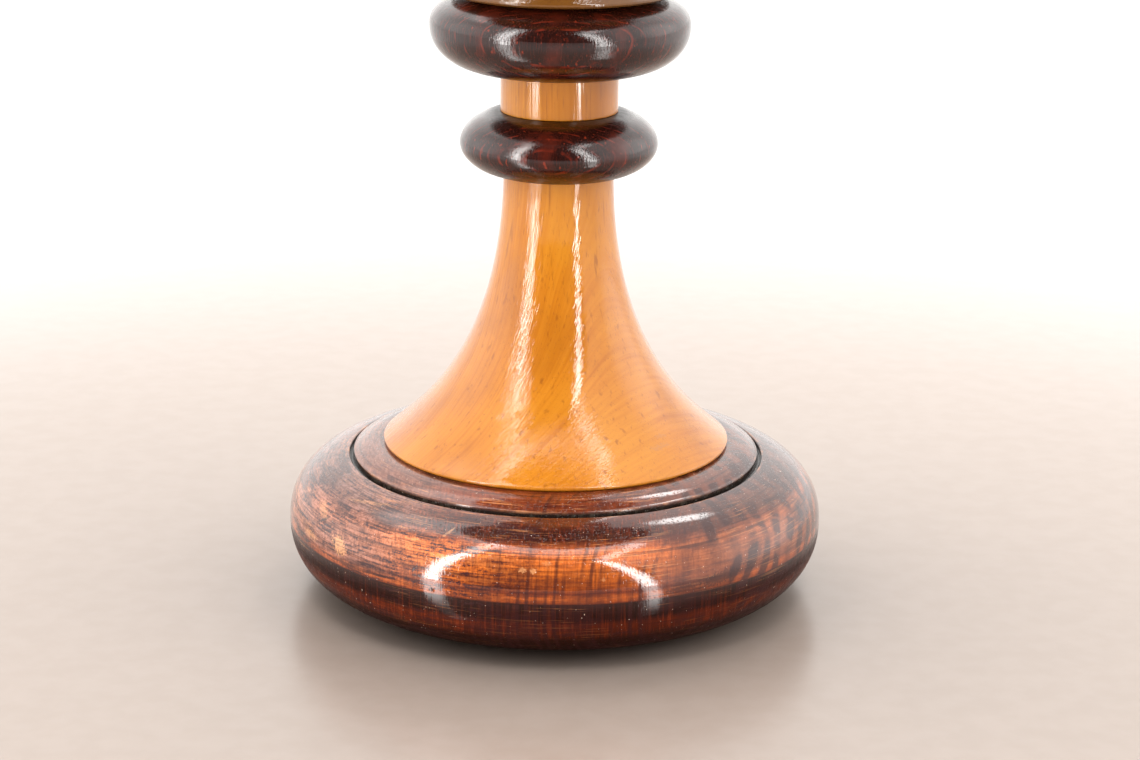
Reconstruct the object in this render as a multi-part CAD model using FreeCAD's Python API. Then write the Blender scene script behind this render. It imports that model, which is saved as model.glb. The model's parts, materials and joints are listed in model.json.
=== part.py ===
"""Tilt top table: a round dished top that tips up on a turned, two-tone pedestal.

Millimetres, +Z up. The origin is the centre of the ring that the base stands on.
The pedestal is a stack of turned pieces, registered by tenons and clamped by one steel tie rod.
The top swings about two pivot pins in the block (axis along Y), and a sliding brass bolt locks it level.
Each sub-part is written to parts/NODE.step, where NODE is the name of the sub-part.
"""

import FreeCAD, Part

import math
import os

V = FreeCAD.Vector
UP = V(0, 0, 1)
AXIS_POINT = V(0, 0, 0)

# ---------------------------------------------------------------- driving dimensions
BASE_R = 140.0  # widest radius of the bun base
TABLE_H = 610.0  # floor to the top of the rim
TOP_R = 225.0  # outer radius of the round top

# Base: a bun with a raised platform, parted by a groove
BASE_WIDEST_Z = 37.0
FOOT_R = 95.0  # outer edge of the flat ring it stands on
FOOT_INNER_R = 72.0
FOOT_RELIEF = 3.0  # height of the hollowed underside
SHOULDER_Z = 70.4  # where the bun's upper curve would level out
SHOULDER_R = 98.0
BUN_SQUARENESS = 2.2  # 2 is an ellipse, more is fuller
GROOVE_R = 108.6  # outer lip of the groove
GROOVE_LIP_Z = 69.2
LIP_SLOPE = 0.16  # how fast the shoulder still rises where it meets the lip
GROOVE_BOTTOM_Z = 65.2
PLATFORM_R = 106.2
PLATFORM_EDGE_Z = 71.6
PLATFORM_Z = 76.6
PLATFORM_ROUNDING = 1.2  # of its outer edge
CROWN_SHOULDER = (4.0, 0.6)  # outside the trumpet, and below its seat
SEAT_OVERHANG = 1.0  # how far the trumpet's foot stands out over its flat seat

# Heights of the joints up the pedestal, from the platform to the underside of the top
LOWER_RING_Z = 219.8
LOWER_COLLAR_Z = 251.8
CENTRE_RING_Z = 272.9
UPPER_TRUMPET_Z = 312.4
UPPER_RING_Z = 476.0
UPPER_COLLAR_Z = 503.0
CAP_RING_Z = 523.0
BLOCK_Z = 554.0
FIELD_Z = 588.0  # underside of the boards

# Radii of the turned pieces
TRUMPET_R = 90.4
TRUMPET_NECK_R = 28.4
UPPER_TRUMPET_R = 58.7
UPPER_TRUMPET_NECK_R = 24.5
LOWER_RING_R = 50.8
LOWER_COLLAR_R = 30.2
CENTRE_RING_R = 66.3
UPPER_RING_R = 42.0
UPPER_COLLAR_R = 25.8
CAP_RING_R = 51.0
TRUMPET_LIP = 2.2  # height of the upright edge round a trumpet's foot
FLARE = 0.39  # how quickly a trumpet opens, as a share of its height
RING_SQUARENESS = 2.0
FULL_RING_SQUARENESS = 2.2
CAP_RING_SQUARENESS = 2.1
RING_WIDEST_SHARE = 0.49  # height of a ring's widest line, as a share of its thickness
CENTRE_RING_WIDEST_SHARE = 0.52
LOWER_RING_SEAT_R = 29.5  # flat seat at each face of a ring
CENTRE_RING_SEAT_R = 35.0
UPPER_RING_SEAT_R = 25.0
CAP_RING_SEAT_R = 30.0

# Tenons and the tie rod
TENON_R = 18.0
UPPER_TENON_R = 15.0
FOOT_TENON_R = 24.0
FOOT_TENON_H = 12.0
GLUE_GAP = 0.1
END_GAP = 0.5  # left at the bottom of a socket or between two tenons
OVERSHOOT = 1.0  # how far a cutting shape runs past the faces it cuts
ROD_R = 5.0
ROD_BORE_R = 5.5
ROD_BOTTOM_Z = 6.0
ROD_TOP_Z = 585.0
NUT_ACROSS_FLATS = 17.0
NUT_H = 8.0
NUT_CHAMFER_ANGLE = 30.0
NUT_FACE_INSET = 0.8  # from the corners in to the round face
ROD_CHAMFER = 0.8
BASE_RECESS_R = 20.0
BASE_RECESS_TOP_Z = 21.0
BASE_WASHER_R = 17.0
BASE_WASHER_H = 3.0
BLOCK_RECESS_R = 16.0
BLOCK_RECESS_Z = 572.0
BLOCK_WASHER_R = 14.0
BLOCK_WASHER_H = 2.5

# Block and pivot
BLOCK_HALF = 55.0
BLOCK_BEVEL = 7.0  # round its lower edges
BLOCK_EASE = 2.0  # along its free top edge
BLOCK_SOCKET_SHARE = 0.6  # depth of the collar's socket, as a share of the wood below the recess
TOP_GAP = 0.3  # between the block and the underside of the top, all the way round the hinge edge
PIVOT_DROP = 14.0  # from the underside of the top to the pivot
PIVOT_X = -BLOCK_HALF + PIVOT_DROP - TOP_GAP
PIVOT_Z = FIELD_Z - PIVOT_DROP
JOURNAL_R = 5.0
JOURNAL_BORE_R = 5.05
PIN_THREAD_R = 4.0
PIN_THREAD_LENGTH = 30.0
PIN_HEAD_R = 8.5
PIN_HEAD_H = 3.5
PIN_HEAD_ROUNDING = 2.0
PIN_SLOT_WIDTH = 1.6
PIN_SLOT_DEPTH = 1.2
PIVOT_WASHER_R = 10.0
PIVOT_WASHER_H = 1.2
PIVOT_WASHER_BORE_R = 5.2

# Battens
BATTEN_INNER_Y = 56.5
BATTEN_WIDTH = 26.0
BATTEN_DEPTH = 30.0
BATTEN_HALF_LENGTH = 156.0
BATTEN_TIP_DEPTH = 9.0  # depth left at the tapered ends
BATTEN_TAPER = 62.0
BATTEN_BEVEL = 1.8
PIN_HEAD_GAP = 0.3

# Top: boards tongued into a rim of mitred segments
FIELD_R = 183.0
FIELD_THICKNESS = 18.0
BOARDS = 5
RIM_SEGMENTS = 8
RIM_BOTTOM_Z = 585.0
TONGUE_LENGTH = 7.0
TONGUE_THICKNESS = 6.0
RIM_BEAD_WIDTH = 13.0
RIM_GROOVE = 2.4
RIM_GROOVE_DEPTH = 2.0
RIM_GROOVE_FLOOR = 1.2  # width of its flat bottom
RIM_EDGE_WIDTH = 17.0  # width of the rounded outer edge
RIM_WIDEST_RISE = 11.5  # of the widest line above the rim's underside
RIM_SQUARENESS = 2.2
RIM_CREST_DROP = 2.0  # of the outer edge below the bead
RIM_HOLLOW = 0.6
BEAD_DROP = 3.4  # of the bead's outer foot below its top
BEAD_INNER_RISE = 0.2  # of its inner foot above the boards
RIM_EASE = 2.0

# Wood screws through the battens
SCREW_HEAD_R = 4.4
SCREW_SHANK_R = 2.4
SCREW_TIP = 5.0
SCREW_POINT_R = 0.3
SCREW_BITE = 12.0  # how far it goes into the boards
SCREW_XS = (-125.0, -62.0, 30.0, 62.0, 125.0)
SCREW_HEAD_INSET = 1.0
SCREW_TAPER_SINK = 2.0  # sunk further where the batten slopes

# Catch: a round bolt in a brass plate under the top, and a strike plate in the block
BOLT_DROP = 12.0
BOLT_Z = FIELD_Z - BOLT_DROP
BOLT_R = 3.5
BOLT_BORE_R = 3.55
BOLT_NOSE_X = 58.5
BOLT_TAIL_X = 123.0
BOLT_TRAVEL = 12.0  # towards the pedestal, to shoot it home
BOLT_ROUNDING = 1.2
KNOB_X = 94.0
KNOB_STEM_R = 2.2
KNOB_R = 6.5
KNOB_DROP = 21.0
KNOB_HOLE_SPARE = 2.0
KNOB_STEM_SWELL = 0.4
KNOB_FLANGE = (1.6, 0.6, 2.4, 3.4)  # its reach, and its top, bottom and foot below the bolt
KNOB_NECK_RISE = 1.5
CATCH_X = (60.0, 124.0)
CATCH_HALF_WIDTH = 15.0
BRASS_THICKNESS = 1.6
CATCH_CORNER_R = 5.0
STRIKE_CORNER_R = 3.0
LUG_XS = (64.0, 100.0)
LUG_LENGTH = 8.0
LUG_R = 7.0
CATCH_SCREW_XS = (69.0, 116.0)
CATCH_SCREW_Y = 11.0
STRIKE_HALF_WIDTH = 18.0
STRIKE_HALF_HEIGHT = 7.5
STRIKE_HOLE_R = 4.0
STRIKE_POCKET_R = 4.4
STRIKE_POCKET_SPARE = 3.0  # beyond the nose of the bolt when it is shot home
STRIKE_SCREW_Y = 12.5
SMALL_SCREW_HEAD_R = 3.0
SMALL_SCREW_SHANK_R = 1.5
SMALL_SCREW_LENGTH = 11.0
SMALL_SCREW_TIP = 3.0
SLOT_WIDTH = 0.8
SLOT_DEPTH = 0.9


# ---------------------------------------------------------------- outline helpers
def at(r, z):
    """A point of an outline in the XZ plane, at radius r and height z."""
    return V(r, 0, z)


def line(a, b):
    return Part.LineSegment(a, b).toShape()


def lines(*points):
    """The straight edges from each point to the next."""
    return [line(a, b) for a, b in zip(points, points[1:])]


def smooth(points, start_direction, end_direction):
    """One curve through the points, leaving and arriving in the given directions."""
    curve = Part.BSplineCurve()
    curve.interpolate(Points=points, InitialTangent=start_direction, FinalTangent=end_direction)
    return curve.toShape()


def turned(edges):
    """The solid that a closed outline sweeps round the Z axis."""
    face = Part.Face(Part.Wire(edges))
    return face.revolve(AXIS_POINT, UP, 360)


def quarter(centre_r, centre_z, semi_r, semi_z, squareness, steps=6):
    """Points of a quarter of a rounded form, from its widest point to its level end."""
    points = []
    for step in range(steps + 1):
        angle = math.pi / 2 * step / steps
        across = math.cos(angle) ** (2 / squareness) if step < steps else 0.0
        along = math.sin(angle) ** (2 / squareness)
        points.append(at(centre_r + semi_r * across, centre_z + semi_z * along))
    return points


def bulge(level_r, widest_r, bottom_z, widest_z, top_z, squareness):
    """The rounded outside of a ring, from its lower level end to its upper one."""
    reach = widest_r - level_r
    lower = quarter(level_r, widest_z, reach, bottom_z - widest_z, squareness)
    upper = quarter(level_r, widest_z, reach, top_z - widest_z, squareness)
    return smooth(lower[::-1] + upper[1:], V(1, 0, 0), V(-1, 0, 0))


def cylinder(radius, bottom_z, top_z):
    return Part.makeCylinder(radius, top_z - bottom_z, V(0, 0, bottom_z), UP)


def rod_bore(bottom_z, top_z):
    """The hole for the tie rod, a little longer than the piece it goes through."""
    return cylinder(ROD_BORE_R, bottom_z - OVERSHOOT, top_z + OVERSHOOT)


def box(low, high):
    size = high - low
    return Part.makeBox(size.x, size.y, size.z, low)


# ---------------------------------------------------------------- pedestal
def base_bun():
    level_r = FOOT_R
    reach = BASE_R - level_r
    lower = quarter(level_r, BASE_WIDEST_Z, reach, -BASE_WIDEST_Z, BUN_SQUARENESS)
    upper_reach = BASE_R - SHOULDER_R
    upper = quarter(SHOULDER_R, BASE_WIDEST_Z, upper_reach, SHOULDER_Z - BASE_WIDEST_Z, BUN_SQUARENESS)
    shoulder = [point for point in upper if point.x > GROOVE_R + PLATFORM_ROUNDING]
    lip = at(GROOVE_R, GROOVE_LIP_Z)
    outside = smooth(
        lower[::-1] + shoulder[1:] + [lip],
        V(1, 0, 0),
        V(-1, 0, LIP_SLOPE),
    )
    wall_foot = at(PLATFORM_R, GROOVE_BOTTOM_Z)
    wall_top = at(PLATFORM_R, PLATFORM_EDGE_Z - PLATFORM_ROUNDING)
    seat_r = TRUMPET_R - SEAT_OVERHANG
    crown_out, crown_drop = CROWN_SHOULDER
    crown = smooth(
        [
            wall_top,
            at(PLATFORM_R - PLATFORM_ROUNDING, PLATFORM_EDGE_Z + PLATFORM_ROUNDING / 2),
            at(TRUMPET_R + crown_out, PLATFORM_Z - crown_drop),
            at(seat_r, PLATFORM_Z),
        ],
        V(0, 0, 1),
        V(-1, 0, 0),
    )
    socket_r = FOOT_TENON_R + GLUE_GAP
    socket_z = PLATFORM_Z - FOOT_TENON_H - END_GAP
    inside = lines(
        at(seat_r, PLATFORM_Z),
        at(socket_r, PLATFORM_Z),
        at(socket_r, socket_z),
        at(ROD_BORE_R, socket_z),
        at(ROD_BORE_R, BASE_RECESS_TOP_Z),
        at(BASE_RECESS_R, BASE_RECESS_TOP_Z),
        at(BASE_RECESS_R, FOOT_RELIEF),
        at(FOOT_INNER_R - FOOT_RELIEF, FOOT_RELIEF),
        at(FOOT_INNER_R, 0),
        at(FOOT_R, 0),
    )
    return turned([outside, *lines(lip, wall_foot, wall_top), crown, *inside])


def trumpet(foot_z, foot_r, top_z, neck_r, spigot, tenon):
    """A piece that opens towards its foot, with a spigot below it and a tenon above it.

    spigot and tenon are each (radius, length). The flare follows a hyperbolic cosine.
    """
    edge_z = foot_z + TRUMPET_LIP
    height = top_z - edge_z
    scale = FLARE * height
    opening = (foot_r - neck_r) / (math.cosh(height / scale) - 1)
    steps = 8
    flare = []
    for step in range(steps + 1):
        below = height * (1 - step / steps)
        flare.append(at(neck_r + opening * (math.cosh(below / scale) - 1), top_z - below))
    slope = opening / scale * math.sinh(height / scale)
    outside = smooth(flare, V(-slope, 0, 1), V(0, 0, 1))
    upper = lines(
        at(neck_r, top_z),
        at(tenon[0], top_z),
        at(tenon[0], top_z + tenon[1]),
        at(ROD_BORE_R, top_z + tenon[1]),
        at(ROD_BORE_R, foot_z - spigot[1]),
        at(spigot[0], foot_z - spigot[1]),
        at(spigot[0], foot_z),
        at(foot_r, foot_z),
        at(foot_r, edge_z),
    )
    return turned([outside, *upper])


def ring(bottom_z, top_z, widest_r, level_r, bore_r, squareness, widest_share=RING_WIDEST_SHARE):
    """A dark half-round ring with flat seats, bored through for the tenons."""
    widest_z = bottom_z + (top_z - bottom_z) * widest_share
    outside = bulge(level_r, widest_r, bottom_z, widest_z, top_z, squareness)
    inside = lines(at(level_r, top_z), at(bore_r, top_z), at(bore_r, bottom_z), at(level_r, bottom_z))
    return turned([outside, *inside])


def collar(bottom_z, top_z, radius, lower_tenon, upper_tenon):
    """A light cylinder with a tenon at each end; each tenon is (radius, length)."""
    low = bottom_z - lower_tenon[1]
    high = top_z + upper_tenon[1]
    body = cylinder(radius, bottom_z, top_z)
    body = body.fuse(cylinder(lower_tenon[0], low, bottom_z))
    body = body.fuse(cylinder(upper_tenon[0], top_z, high))
    return body.cut(rod_bore(low, high)).removeSplitter()


def half_of(low_z, high_z):
    """The length of a tenon that shares a ring's bore with the tenon from the other side."""
    return (high_z - low_z - END_GAP) / 2


def lower_trumpet():
    tenon = (TENON_R, half_of(LOWER_RING_Z, LOWER_COLLAR_Z))
    return trumpet(
        PLATFORM_Z, TRUMPET_R, LOWER_RING_Z, TRUMPET_NECK_R, (FOOT_TENON_R, FOOT_TENON_H), tenon
    )


def lower_ring():
    bore_r = TENON_R + GLUE_GAP
    return ring(
        LOWER_RING_Z, LOWER_COLLAR_Z, LOWER_RING_R, LOWER_RING_SEAT_R, bore_r, RING_SQUARENESS
    )


def lower_collar():
    below = (TENON_R, half_of(LOWER_RING_Z, LOWER_COLLAR_Z))
    above = (TENON_R, half_of(CENTRE_RING_Z, UPPER_TRUMPET_Z))
    return collar(LOWER_COLLAR_Z, CENTRE_RING_Z, LOWER_COLLAR_R, below, above)


def centre_ring():
    return ring(
        CENTRE_RING_Z,
        UPPER_TRUMPET_Z,
        CENTRE_RING_R,
        CENTRE_RING_SEAT_R,
        TENON_R + GLUE_GAP,
        FULL_RING_SQUARENESS,
        CENTRE_RING_WIDEST_SHARE,
    )


def upper_trumpet():
    spigot = (TENON_R, half_of(CENTRE_RING_Z, UPPER_TRUMPET_Z))
    tenon = (UPPER_TENON_R, half_of(UPPER_RING_Z, UPPER_COLLAR_Z))
    return trumpet(
        UPPER_TRUMPET_Z, UPPER_TRUMPET_R, UPPER_RING_Z, UPPER_TRUMPET_NECK_R, spigot, tenon
    )


def upper_ring():
    bore_r = UPPER_TENON_R + GLUE_GAP
    return ring(
        UPPER_RING_Z, UPPER_COLLAR_Z, UPPER_RING_R, UPPER_RING_SEAT_R, bore_r, RING_SQUARENESS
    )


def block_socket_depth():
    return (BLOCK_RECESS_Z - BLOCK_Z) * BLOCK_SOCKET_SHARE


def upper_collar():
    below = (UPPER_TENON_R, half_of(UPPER_RING_Z, UPPER_COLLAR_Z))
    above = (UPPER_TENON_R, BLOCK_Z + block_socket_depth() - END_GAP - CAP_RING_Z)
    return collar(UPPER_COLLAR_Z, CAP_RING_Z, UPPER_COLLAR_R, below, above)


def cap_ring():
    bore_r = UPPER_TENON_R + GLUE_GAP
    return ring(CAP_RING_Z, BLOCK_Z, CAP_RING_R, CAP_RING_SEAT_R, bore_r, CAP_RING_SQUARENESS)


def pivot_block():
    """A square block whose hinge edge is rounded about the pivot, so that the top clears it."""
    top_z = FIELD_Z - TOP_GAP
    edge_r = PIVOT_DROP - TOP_GAP
    inset = BLOCK_BEVEL
    cove_z = BLOCK_Z + inset
    low, high = -BLOCK_HALF, BLOCK_HALF
    diagonal = edge_r * math.sqrt(0.5)
    arc_middle = at(PIVOT_X - diagonal, PIVOT_Z + diagonal)
    corner = BLOCK_EASE
    outline = [
        line(at(low + inset, BLOCK_Z), at(high - inset, BLOCK_Z)),
        line(at(high - inset, BLOCK_Z), at(high, cove_z)),
        line(at(high, cove_z), at(high, top_z - corner)),
        line(at(high, top_z - corner), at(high - corner, top_z)),
        line(at(high - corner, top_z), at(PIVOT_X, top_z)),
        Part.Arc(at(PIVOT_X, top_z), arc_middle, at(low, PIVOT_Z)).toShape(),
        line(at(low, PIVOT_Z), at(low, cove_z)),
        line(at(low, cove_z), at(low + inset, BLOCK_Z)),
    ]
    face = Part.Face(Part.Wire(outline))
    face.translate(V(0, -BLOCK_HALF, 0))
    block = face.extrude(V(0, 2 * BLOCK_HALF, 0))
    for side in (-1, 1):
        block = block.cut(side_bevel(side))
    socket_top = BLOCK_Z + block_socket_depth()
    block = block.cut(cylinder(UPPER_TENON_R + GLUE_GAP, BLOCK_Z - OVERSHOOT, socket_top))
    block = block.cut(rod_bore(BLOCK_Z, top_z))
    block = block.cut(cylinder(BLOCK_RECESS_R, BLOCK_RECESS_Z, top_z + OVERSHOOT))
    for side in (-1, 1):
        block = block.cut(pin_thread(side))
    block = block.cut(strike_blank())
    block = block.cut(strike_pocket())
    for screw in strike_screw_solids():
        block = block.cut(screw)
    return block


def strike_pocket():
    """The hole behind the strike plate, a little deeper than the bolt goes when it is shot home."""
    start_x = BLOCK_HALF - BRASS_THICKNESS
    end_x = BOLT_NOSE_X - BOLT_TRAVEL - STRIKE_POCKET_SPARE
    return Part.makeCylinder(STRIKE_POCKET_R, start_x - end_x, V(start_x, 0, BOLT_Z), V(-1, 0, 0))


def side_bevel(side):
    """The wedge that bevels the block's lower edge on one side."""
    inset = BLOCK_BEVEL
    y = side * BLOCK_HALF
    reach = BLOCK_HALF + OVERSHOOT
    corners = [
        V(-reach, y, BLOCK_Z),
        V(-reach, y, BLOCK_Z + inset),
        V(-reach, y - side * inset, BLOCK_Z),
    ]
    wire = Part.makePolygon(corners + corners[:1])
    return Part.Face(wire).extrude(V(2 * reach, 0, 0))


# ---------------------------------------------------------------- tie rod, nuts and washers
def tie_rod():
    rod = cylinder(ROD_R, ROD_BOTTOM_Z, ROD_TOP_Z)
    return rod.makeChamfer(ROD_CHAMFER, [e for e in rod.Edges if e.Curve.TypeId == "Part::GeomCircle"])


def nut(bottom_z):
    corner_r = NUT_ACROSS_FLATS / 2 / math.cos(math.pi / 6)
    corners = []
    for step in range(7):
        angle = math.pi / 3 * step
        corners.append(V(corner_r * math.cos(angle), corner_r * math.sin(angle), bottom_z))
    prism = Part.Face(Part.makePolygon(corners)).extrude(V(0, 0, NUT_H))
    middle_z = bottom_z + NUT_H / 2
    face_r = corner_r - NUT_FACE_INSET
    middle_r = face_r + NUT_H / 2 / math.tan(math.radians(NUT_CHAMFER_ANGLE))
    lower = Part.makeCone(face_r, middle_r, NUT_H / 2, V(0, 0, bottom_z), UP)
    upper = Part.makeCone(middle_r, face_r, NUT_H / 2, V(0, 0, middle_z), UP)
    hole = cylinder(ROD_R, bottom_z - OVERSHOOT, bottom_z + NUT_H + OVERSHOOT)
    return prism.common(lower.fuse(upper)).cut(hole)


def washer(bottom_z, height, radius):
    return cylinder(radius, bottom_z, bottom_z + height).cut(rod_bore(bottom_z, bottom_z + height))


def base_washer():
    return washer(BASE_RECESS_TOP_Z - BASE_WASHER_H, BASE_WASHER_H, BASE_WASHER_R)


def base_nut():
    return nut(BASE_RECESS_TOP_Z - BASE_WASHER_H - NUT_H)


def block_washer():
    return washer(BLOCK_RECESS_Z, BLOCK_WASHER_H, BLOCK_WASHER_R)


def block_nut():
    return nut(BLOCK_RECESS_Z + BLOCK_WASHER_H)


# ---------------------------------------------------------------- pivot
def pivot_cylinder(side, radius, near_y, far_y):
    """A cylinder on the pivot's axis, between two distances from the middle on one side."""
    start = V(PIVOT_X, side * near_y, PIVOT_Z)
    return Part.makeCylinder(radius, far_y - near_y, start, V(0, side, 0))


def pin_thread(side):
    return pivot_cylinder(side, PIN_THREAD_R, BLOCK_HALF - PIN_THREAD_LENGTH, BLOCK_HALF)


def pivot_pin(side):
    """A shouldered pin: threaded into the block, plain through the batten, with a slotted head."""
    head_y = BATTEN_INNER_Y + BATTEN_WIDTH + PIN_HEAD_GAP
    pin = pin_thread(side)
    pin = pin.fuse(pivot_cylinder(side, JOURNAL_R, BLOCK_HALF, head_y))
    head = pivot_cylinder(side, PIN_HEAD_R, head_y, head_y + PIN_HEAD_H)
    outer = V(PIVOT_X, side * (head_y + PIN_HEAD_H), PIVOT_Z)
    circles = [e for e in head.Edges if e.Curve.TypeId == "Part::GeomCircle"]
    outer_edge = [e for e in circles if e.Curve.Center.isEqual(outer, 1e-6)]
    head = head.makeFillet(PIN_HEAD_ROUNDING, outer_edge)
    reach = PIN_HEAD_R + OVERSHOOT
    slot = box(
        V(-reach, -PIN_SLOT_DEPTH, -PIN_SLOT_WIDTH / 2),
        V(reach, PIN_SLOT_DEPTH, PIN_SLOT_WIDTH / 2),
    )
    slot.translate(outer)
    return pin.fuse(head).removeSplitter().cut(slot)


def pivot_washer(side):
    near = BLOCK_HALF + (BATTEN_INNER_Y - BLOCK_HALF - PIVOT_WASHER_H) / 2
    far = near + PIVOT_WASHER_H
    disc = pivot_cylinder(side, PIVOT_WASHER_R, near, far)
    return disc.cut(pivot_cylinder(side, PIVOT_WASHER_BORE_R, near - OVERSHOOT, far + OVERSHOOT))


# ---------------------------------------------------------------- screws
def countersunk_screw(head, direction, head_r, shank_r, length, tip):
    """A slotted screw whose flat head faces away from direction, its head's centre at head."""
    head_h = head_r - shank_r
    body = Part.makeCone(head_r, shank_r, head_h, head, direction)
    shank_start = head + direction * head_h
    body = body.fuse(Part.makeCylinder(shank_r, length - head_h - tip, shank_start, direction))
    tip_start = head + direction * (length - tip)
    body = body.fuse(Part.makeCone(shank_r, SCREW_POINT_R, tip, tip_start, direction))
    return body.removeSplitter()


def slotted(screw, head, direction, head_r):
    """The screw with a driver slot across its head."""
    across = V(0, 1, 0)
    side = direction.cross(across)
    a = head - across * head_r - side * (SLOT_WIDTH / 2) - direction * OVERSHOOT
    b = a + across * (2 * head_r)
    c = b + side * SLOT_WIDTH
    d = a + side * SLOT_WIDTH
    face = Part.Face(Part.makePolygon([a, b, c, d, a]))
    slot = face.extrude(direction * (OVERSHOOT + SLOT_DEPTH))
    return screw.cut(slot)


def batten_depth(x):
    """How deep a batten is at x: full in the middle, tapering to its ends."""
    from_end = BATTEN_HALF_LENGTH - abs(x)
    share = min(1.0, from_end / BATTEN_TAPER)
    return BATTEN_TIP_DEPTH + (BATTEN_DEPTH - BATTEN_TIP_DEPTH) * share


def batten_screw_heads():
    """The centre of each batten screw's head, sunk a little into the batten."""
    heads = []
    for side in (-1, 1):
        y = side * (BATTEN_INNER_Y + BATTEN_WIDTH / 2)
        for x in SCREW_XS:
            sink = SCREW_TAPER_SINK if abs(x) > BATTEN_HALF_LENGTH - BATTEN_TAPER else 0.0
            heads.append(V(x, y, FIELD_Z - batten_depth(x) + SCREW_HEAD_INSET + sink))
    return heads


def batten_screw_blank(head):
    length = FIELD_Z + SCREW_BITE - head.z
    return countersunk_screw(head, UP, SCREW_HEAD_R, SCREW_SHANK_R, length, SCREW_TIP)


def batten_screws():
    heads = batten_screw_heads()
    return [slotted(batten_screw_blank(head), head, UP, SCREW_HEAD_R) for head in heads]


def catch_screw_heads():
    z = FIELD_Z - BRASS_THICKNESS
    return [V(x, side * CATCH_SCREW_Y, z) for x in CATCH_SCREW_XS for side in (-1, 1)]


def small_screw(head, direction):
    return countersunk_screw(
        head,
        direction,
        SMALL_SCREW_HEAD_R,
        SMALL_SCREW_SHANK_R,
        SMALL_SCREW_LENGTH,
        SMALL_SCREW_TIP,
    )


def catch_screws():
    heads = catch_screw_heads()
    return [slotted(small_screw(head, UP), head, UP, SMALL_SCREW_HEAD_R) for head in heads]


def strike_screw_heads():
    return [V(BLOCK_HALF, side * STRIKE_SCREW_Y, BOLT_Z) for side in (-1, 1)]


def strike_screw_solids():
    return [small_screw(head, V(-1, 0, 0)) for head in strike_screw_heads()]


def strike_screws():
    into = V(-1, 0, 0)
    heads = strike_screw_heads()
    return [slotted(small_screw(head, into), head, into, SMALL_SCREW_HEAD_R) for head in heads]


# ---------------------------------------------------------------- battens
def batten(side):
    """A cleat screwed under the boards, tapered at both ends and bored for the pivot pin."""
    low_z = FIELD_Z - BATTEN_DEPTH
    tip_z = FIELD_Z - BATTEN_TIP_DEPTH
    end, shoulder = BATTEN_HALF_LENGTH, BATTEN_HALF_LENGTH - BATTEN_TAPER
    near_y = side * BATTEN_INNER_Y
    corners = [
        V(-end, near_y, FIELD_Z),
        V(-end, near_y, tip_z),
        V(-shoulder, near_y, low_z),
        V(shoulder, near_y, low_z),
        V(end, near_y, tip_z),
        V(end, near_y, FIELD_Z),
    ]
    profile = Part.Face(Part.makePolygon(corners + corners[:1]))
    cleat = profile.extrude(V(0, side * BATTEN_WIDTH, 0))
    lower_edges = []
    for edge in cleat.Edges:
        first, last = edge.Vertexes
        along_side = abs(first.Y - last.Y) < 1e-6
        if along_side and max(first.Z, last.Z) < FIELD_Z - OVERSHOOT:
            lower_edges.append(edge)
    cleat = cleat.makeChamfer(BATTEN_BEVEL, lower_edges)
    far_y = BATTEN_INNER_Y + BATTEN_WIDTH
    near_cut, far_cut = BATTEN_INNER_Y - OVERSHOOT, far_y + OVERSHOOT
    cleat = cleat.cut(pivot_cylinder(side, JOURNAL_BORE_R, near_cut, far_cut))
    for head in batten_screw_heads():
        if head.y * side > 0:
            cleat = cleat.cut(batten_screw_blank(head))
            mouth = Part.makeCylinder(SCREW_HEAD_R, BATTEN_TIP_DEPTH, head, V(0, 0, -1))
            cleat = cleat.cut(mouth)
    return cleat


# ---------------------------------------------------------------- top
def tongue_z():
    """The lower face of the tongue that joins the boards to the rim."""
    return FIELD_Z + (FIELD_THICKNESS - TONGUE_THICKNESS) / 2


def field_disc():
    top_z = FIELD_Z + FIELD_THICKNESS
    disc = cylinder(FIELD_R, FIELD_Z, top_z)
    tongue = cylinder(FIELD_R + TONGUE_LENGTH, tongue_z(), tongue_z() + TONGUE_THICKNESS)
    return disc.fuse(tongue)


def field_boards():
    """The boards, whose grain runs along Y, side by side along X."""
    disc = field_disc()
    screws = [batten_screw_blank(head) for head in batten_screw_heads()]
    screws += [small_screw(head, UP) for head in catch_screw_heads()]
    reach = FIELD_R + TONGUE_LENGTH + OVERSHOOT
    width = 2 * FIELD_R / BOARDS
    boards = []
    for number in range(BOARDS):
        low_x = -reach if number == 0 else -FIELD_R + number * width
        high_x = reach if number == BOARDS - 1 else -FIELD_R + (number + 1) * width
        near_corner = V(low_x, -reach, FIELD_Z - OVERSHOOT)
        far_corner = V(high_x, reach, FIELD_Z + FIELD_THICKNESS + OVERSHOOT)
        board = disc.common(box(near_corner, far_corner))
        for screw in screws:
            if screw.BoundBox.XMax > low_x and screw.BoundBox.XMin < high_x:
                board = board.cut(screw)
        boards.append(board.removeSplitter())
    return boards


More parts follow.
